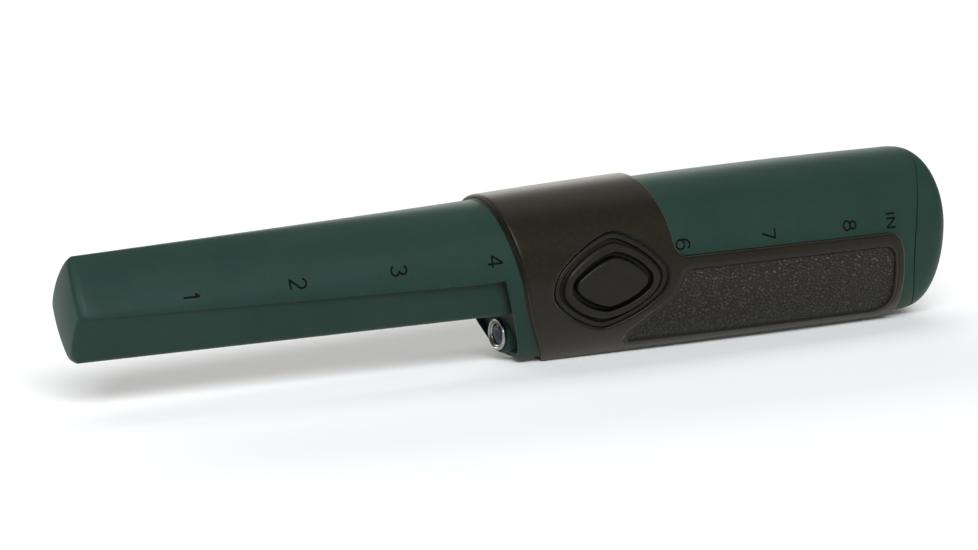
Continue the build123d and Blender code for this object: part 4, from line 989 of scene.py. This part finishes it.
# a stroke's profile is the share of half its width to one side, and the height there
numeralForm = {
    "height": 3.85, "smallHeight": 2.9, "stroke": 0.62, "spacing": 0.25, "centre": 0.32, "sink": -0.08,
    "profile": ((-1, -0.08), (-0.7, 0.04), (0, 0.05), (0.7, 0.04), (1, -0.08), (0, -0.08), (-1, -0.08)),
    "places": {"1": (26.3, 3.1), "2": (51.5, 3.8), "3": (76.3, 4.6), "4": (100.7, 4.75), "6": (152.3, 4.3),
               "7": (177.7, 4.6), "8": (202.9, 4.5), "I": (216.2, 6.3), "N": (216.2, 4.25)},
    "nudge": 0.01, "sharp": 60, "weld": 0.001,
}


# arc of an ellipse in glyph units, angles in degrees
def arc(x, y, rx, ry, start, stop, steps=18):
    turn = np.radians(np.linspace(start, stop, steps))
    return [(x + rx * a, y + ry * b) for a, b in zip(np.cos(turn), np.sin(turn))]


glyphs = {
    "1": [[(0.14, 0.74), (0.32, 1.0), (0.32, 0.0)]],
    "2": [arc(0.31, 0.71, 0.29, 0.29, 165, -25) + [(0.02, 0.0), (0.64, 0.0)]],
    "3": [arc(0.3, 0.76, 0.25, 0.24, 160, -80) + arc(0.3, 0.26, 0.3, 0.26, 80, -160)],
    "4": [[(0.46, 0.0), (0.46, 1.0), (-0.04, 0.32), (0.68, 0.32)]],
    "6": [arc(0.34, 0.6, 0.32, 0.4, 40, 180, 12) + arc(0.32, 0.31, 0.3, 0.31, 180, -180, 28)],
    "7": [[(0.0, 1.0), (0.62, 1.0), (0.26, 0.0)]],
    "8": [arc(0.32, 0.27, 0.31, 0.27, -90, 270, 28), arc(0.32, 0.77, 0.25, 0.23, 90, 450, 26)],
    "I": [[(0.0, 0.0), (0.0, 1.0)]],
    "N": [[(0.0, 0.0), (0.0, 1.0), (0.82, 0.0), (0.82, 1.0)]],
}


# stroke of a glyph as a shallow bar that follows the skin: points about the spacing apart, the
# profile square to the line, and both ends drawn to a point
def strokeGrid(line, height, middle, s0, z0, surface):
    form = numeralForm
    p = np.array(line) * height
    run = runAlong(p)
    even = np.unique(np.concatenate((run, np.linspace(0, run[-1], int(run[-1] / form["spacing"]) + 2))))
    x, y = pointsAt(p, run, even).T
    looped = np.allclose(p[0], p[-1])
    tx, ty = np.gradient(x, even), np.gradient(y, even)
    if looped:
        tx[[0, -1]], ty[[0, -1]] = (tx[0] + tx[-1]) / 2, (ty[0] + ty[-1]) / 2
    size = np.hypot(tx, ty)
    half, lift = np.array(form["profile"]).T
    half = half * form["stroke"] / 2
    x, y = x[:, None] + half * (-ty / size)[:, None], y[:, None] + half * (tx / size)[:, None]
    lift = np.repeat(lift[None], len(x), 0)
    if not looped:
        x, y = (np.vstack((a[:1] * 0 + a[0, 2], a, a[:1] * 0 + a[-1, 2])) for a in (x, y))
        point = np.full((1, lift.shape[1]), form["sink"])
        lift = np.vstack((point, lift, point))
    s = s0 + y - height / 2
    q0, e = qAtLevel(np.array(s0), np.array(z0), 0.0, surface), form["nudge"]
    (ya, za), (yb, zb) = surface(s0, q0 - e, 0.0), surface(s0, q0 + e, 0.0)
    stretch = math.hypot(float(yb - ya), float(zb - za)) / (2 * e)
    sy, sz = surface(s, q0 - (x - middle) / stretch, lift)
    return place(s, -sy, sz)


# strokes of every numeral, laid on the probe or on the handle
def buildNumerals():
    form = numeralForm
    grids = []
    for name, (s0, z0) in form["places"].items():
        height = form["smallHeight"] if name in "IN" else form["height"]
        middle = 0.0 if name == "I" else form["centre"] * height
        surface = probeSkin if s0 < housingForm["shoulder"] else skin
        grids += [strokeGrid(line, height, middle, s0, z0, surface) for line in glyphs[name]]
    # the numerals take the near-black finish that is painted shade
    makePiece("inch_numerals", grids, "body", "green_shell", (), "numeral_painted_shade", form["sharp"], form["weld"])


buildNumerals()


viewpoint = {"eye": (-303.55, -505.8, 138.7), "target": (-11.42, 0.0, 21.67), "lens": 91.2, "sensor": 36.0,
             "nearest": 0.01}


# turn that faces from one point to another
def facing(start, aim):
    return (Vector(aim) - Vector(start)).to_track_quat("-Z", "Y").to_euler()


# camera at the photograph's viewpoint
def setCamera():
    data = bpy.data.cameras.new("camera")
    data.lens = viewpoint["lens"]
    data.sensor_width = viewpoint["sensor"]
    data.clip_start = viewpoint["nearest"]
    camera = bpy.data.objects.new("camera", data)
    bpy.context.scene.collection.objects.link(camera)
    eye, target = (Vector(viewpoint[key]) * mm for key in ("eye", "target"))
    camera.location = eye
    camera.rotation_euler = facing(eye, target)
    bpy.context.scene.camera = camera


# in metres; lamps are place, aim, size, power in watts and colour
studio = {
    "world": {"Color": (0.96, 0.97, 0.98, 1.0), "Strength": 0.05},
    "floor": {"Base Color": (0.74, 0.74, 0.74, 1.0), "Roughness": 0.9, "Specular IOR Level": 0.0,
              "Emission Color": (1.0, 1.0, 1.0, 1.0), "Emission Strength": 0.04},
    "floorReach": 6.0, "floorLevel": -0.00005,
    "lamps": {
        "key": ((-0.9, -2.05, 1.74), (0.0, 0.0, 0.0), (2.2, 0.9), 118.0, (0.93, 0.975, 1.0)),
        "top": ((0.0, 0.35, 1.25), (0.0, 0.0, 0.0), (2.4, 0.7), 7.5, (1.0, 0.99, 0.97)),
        "back": ((0.0, 1.5, 0.62), (0.0, 0.4, 0.0), (2.8, 0.8), 28.0, (1.0, 0.99, 0.97)),
        "side": ((0.55, -0.5, 0.3), (0.06, 0.0, 0.02), (0.4, 0.3), 0.5, (1.0, 0.86, 0.66)),
    },
}


# world light, area lamps and a white floor just under the part
def setStudio():
    world, paper = bpy.data.worlds.new("studio"), bpy.data.materials.new("paper")
    for holder, node, key in ((world, "Background", "world"), (paper, "Principled BSDF", "floor")):
        holder.use_nodes = True
        for socket, value in studio[key].items():
            holder.node_tree.nodes[node].inputs[socket].default_value = value
    bpy.context.scene.world = world
    for name, (start, aim, size, power, colour) in studio["lamps"].items():
        data = bpy.data.lights.new(name, "AREA")
        data.shape = "RECTANGLE"
        data.size, data.size_y = size
        data.energy = power
        data.color = colour
        light = bpy.data.objects.new(name, data)
        light.location = start
        light.rotation_euler = facing(start, aim)
        bpy.context.scene.collection.objects.link(light)
    r, low = studio["floorReach"], studio["floorLevel"]
    mesh = bpy.data.meshes.new("floor")
    mesh.from_pydata([(-r, -r, low), (r, -r, low), (r, r, low), (-r, r, low)], [], [(0, 1, 2, 3)])
    floor = bpy.data.objects.new("floor", mesh)
    mesh.materials.append(paper)
    bpy.context.scene.collection.objects.link(floor)
    bpy.context.scene.view_settings.view_transform = "Standard"


setCamera()
setStudio()
print("camera and studio set")
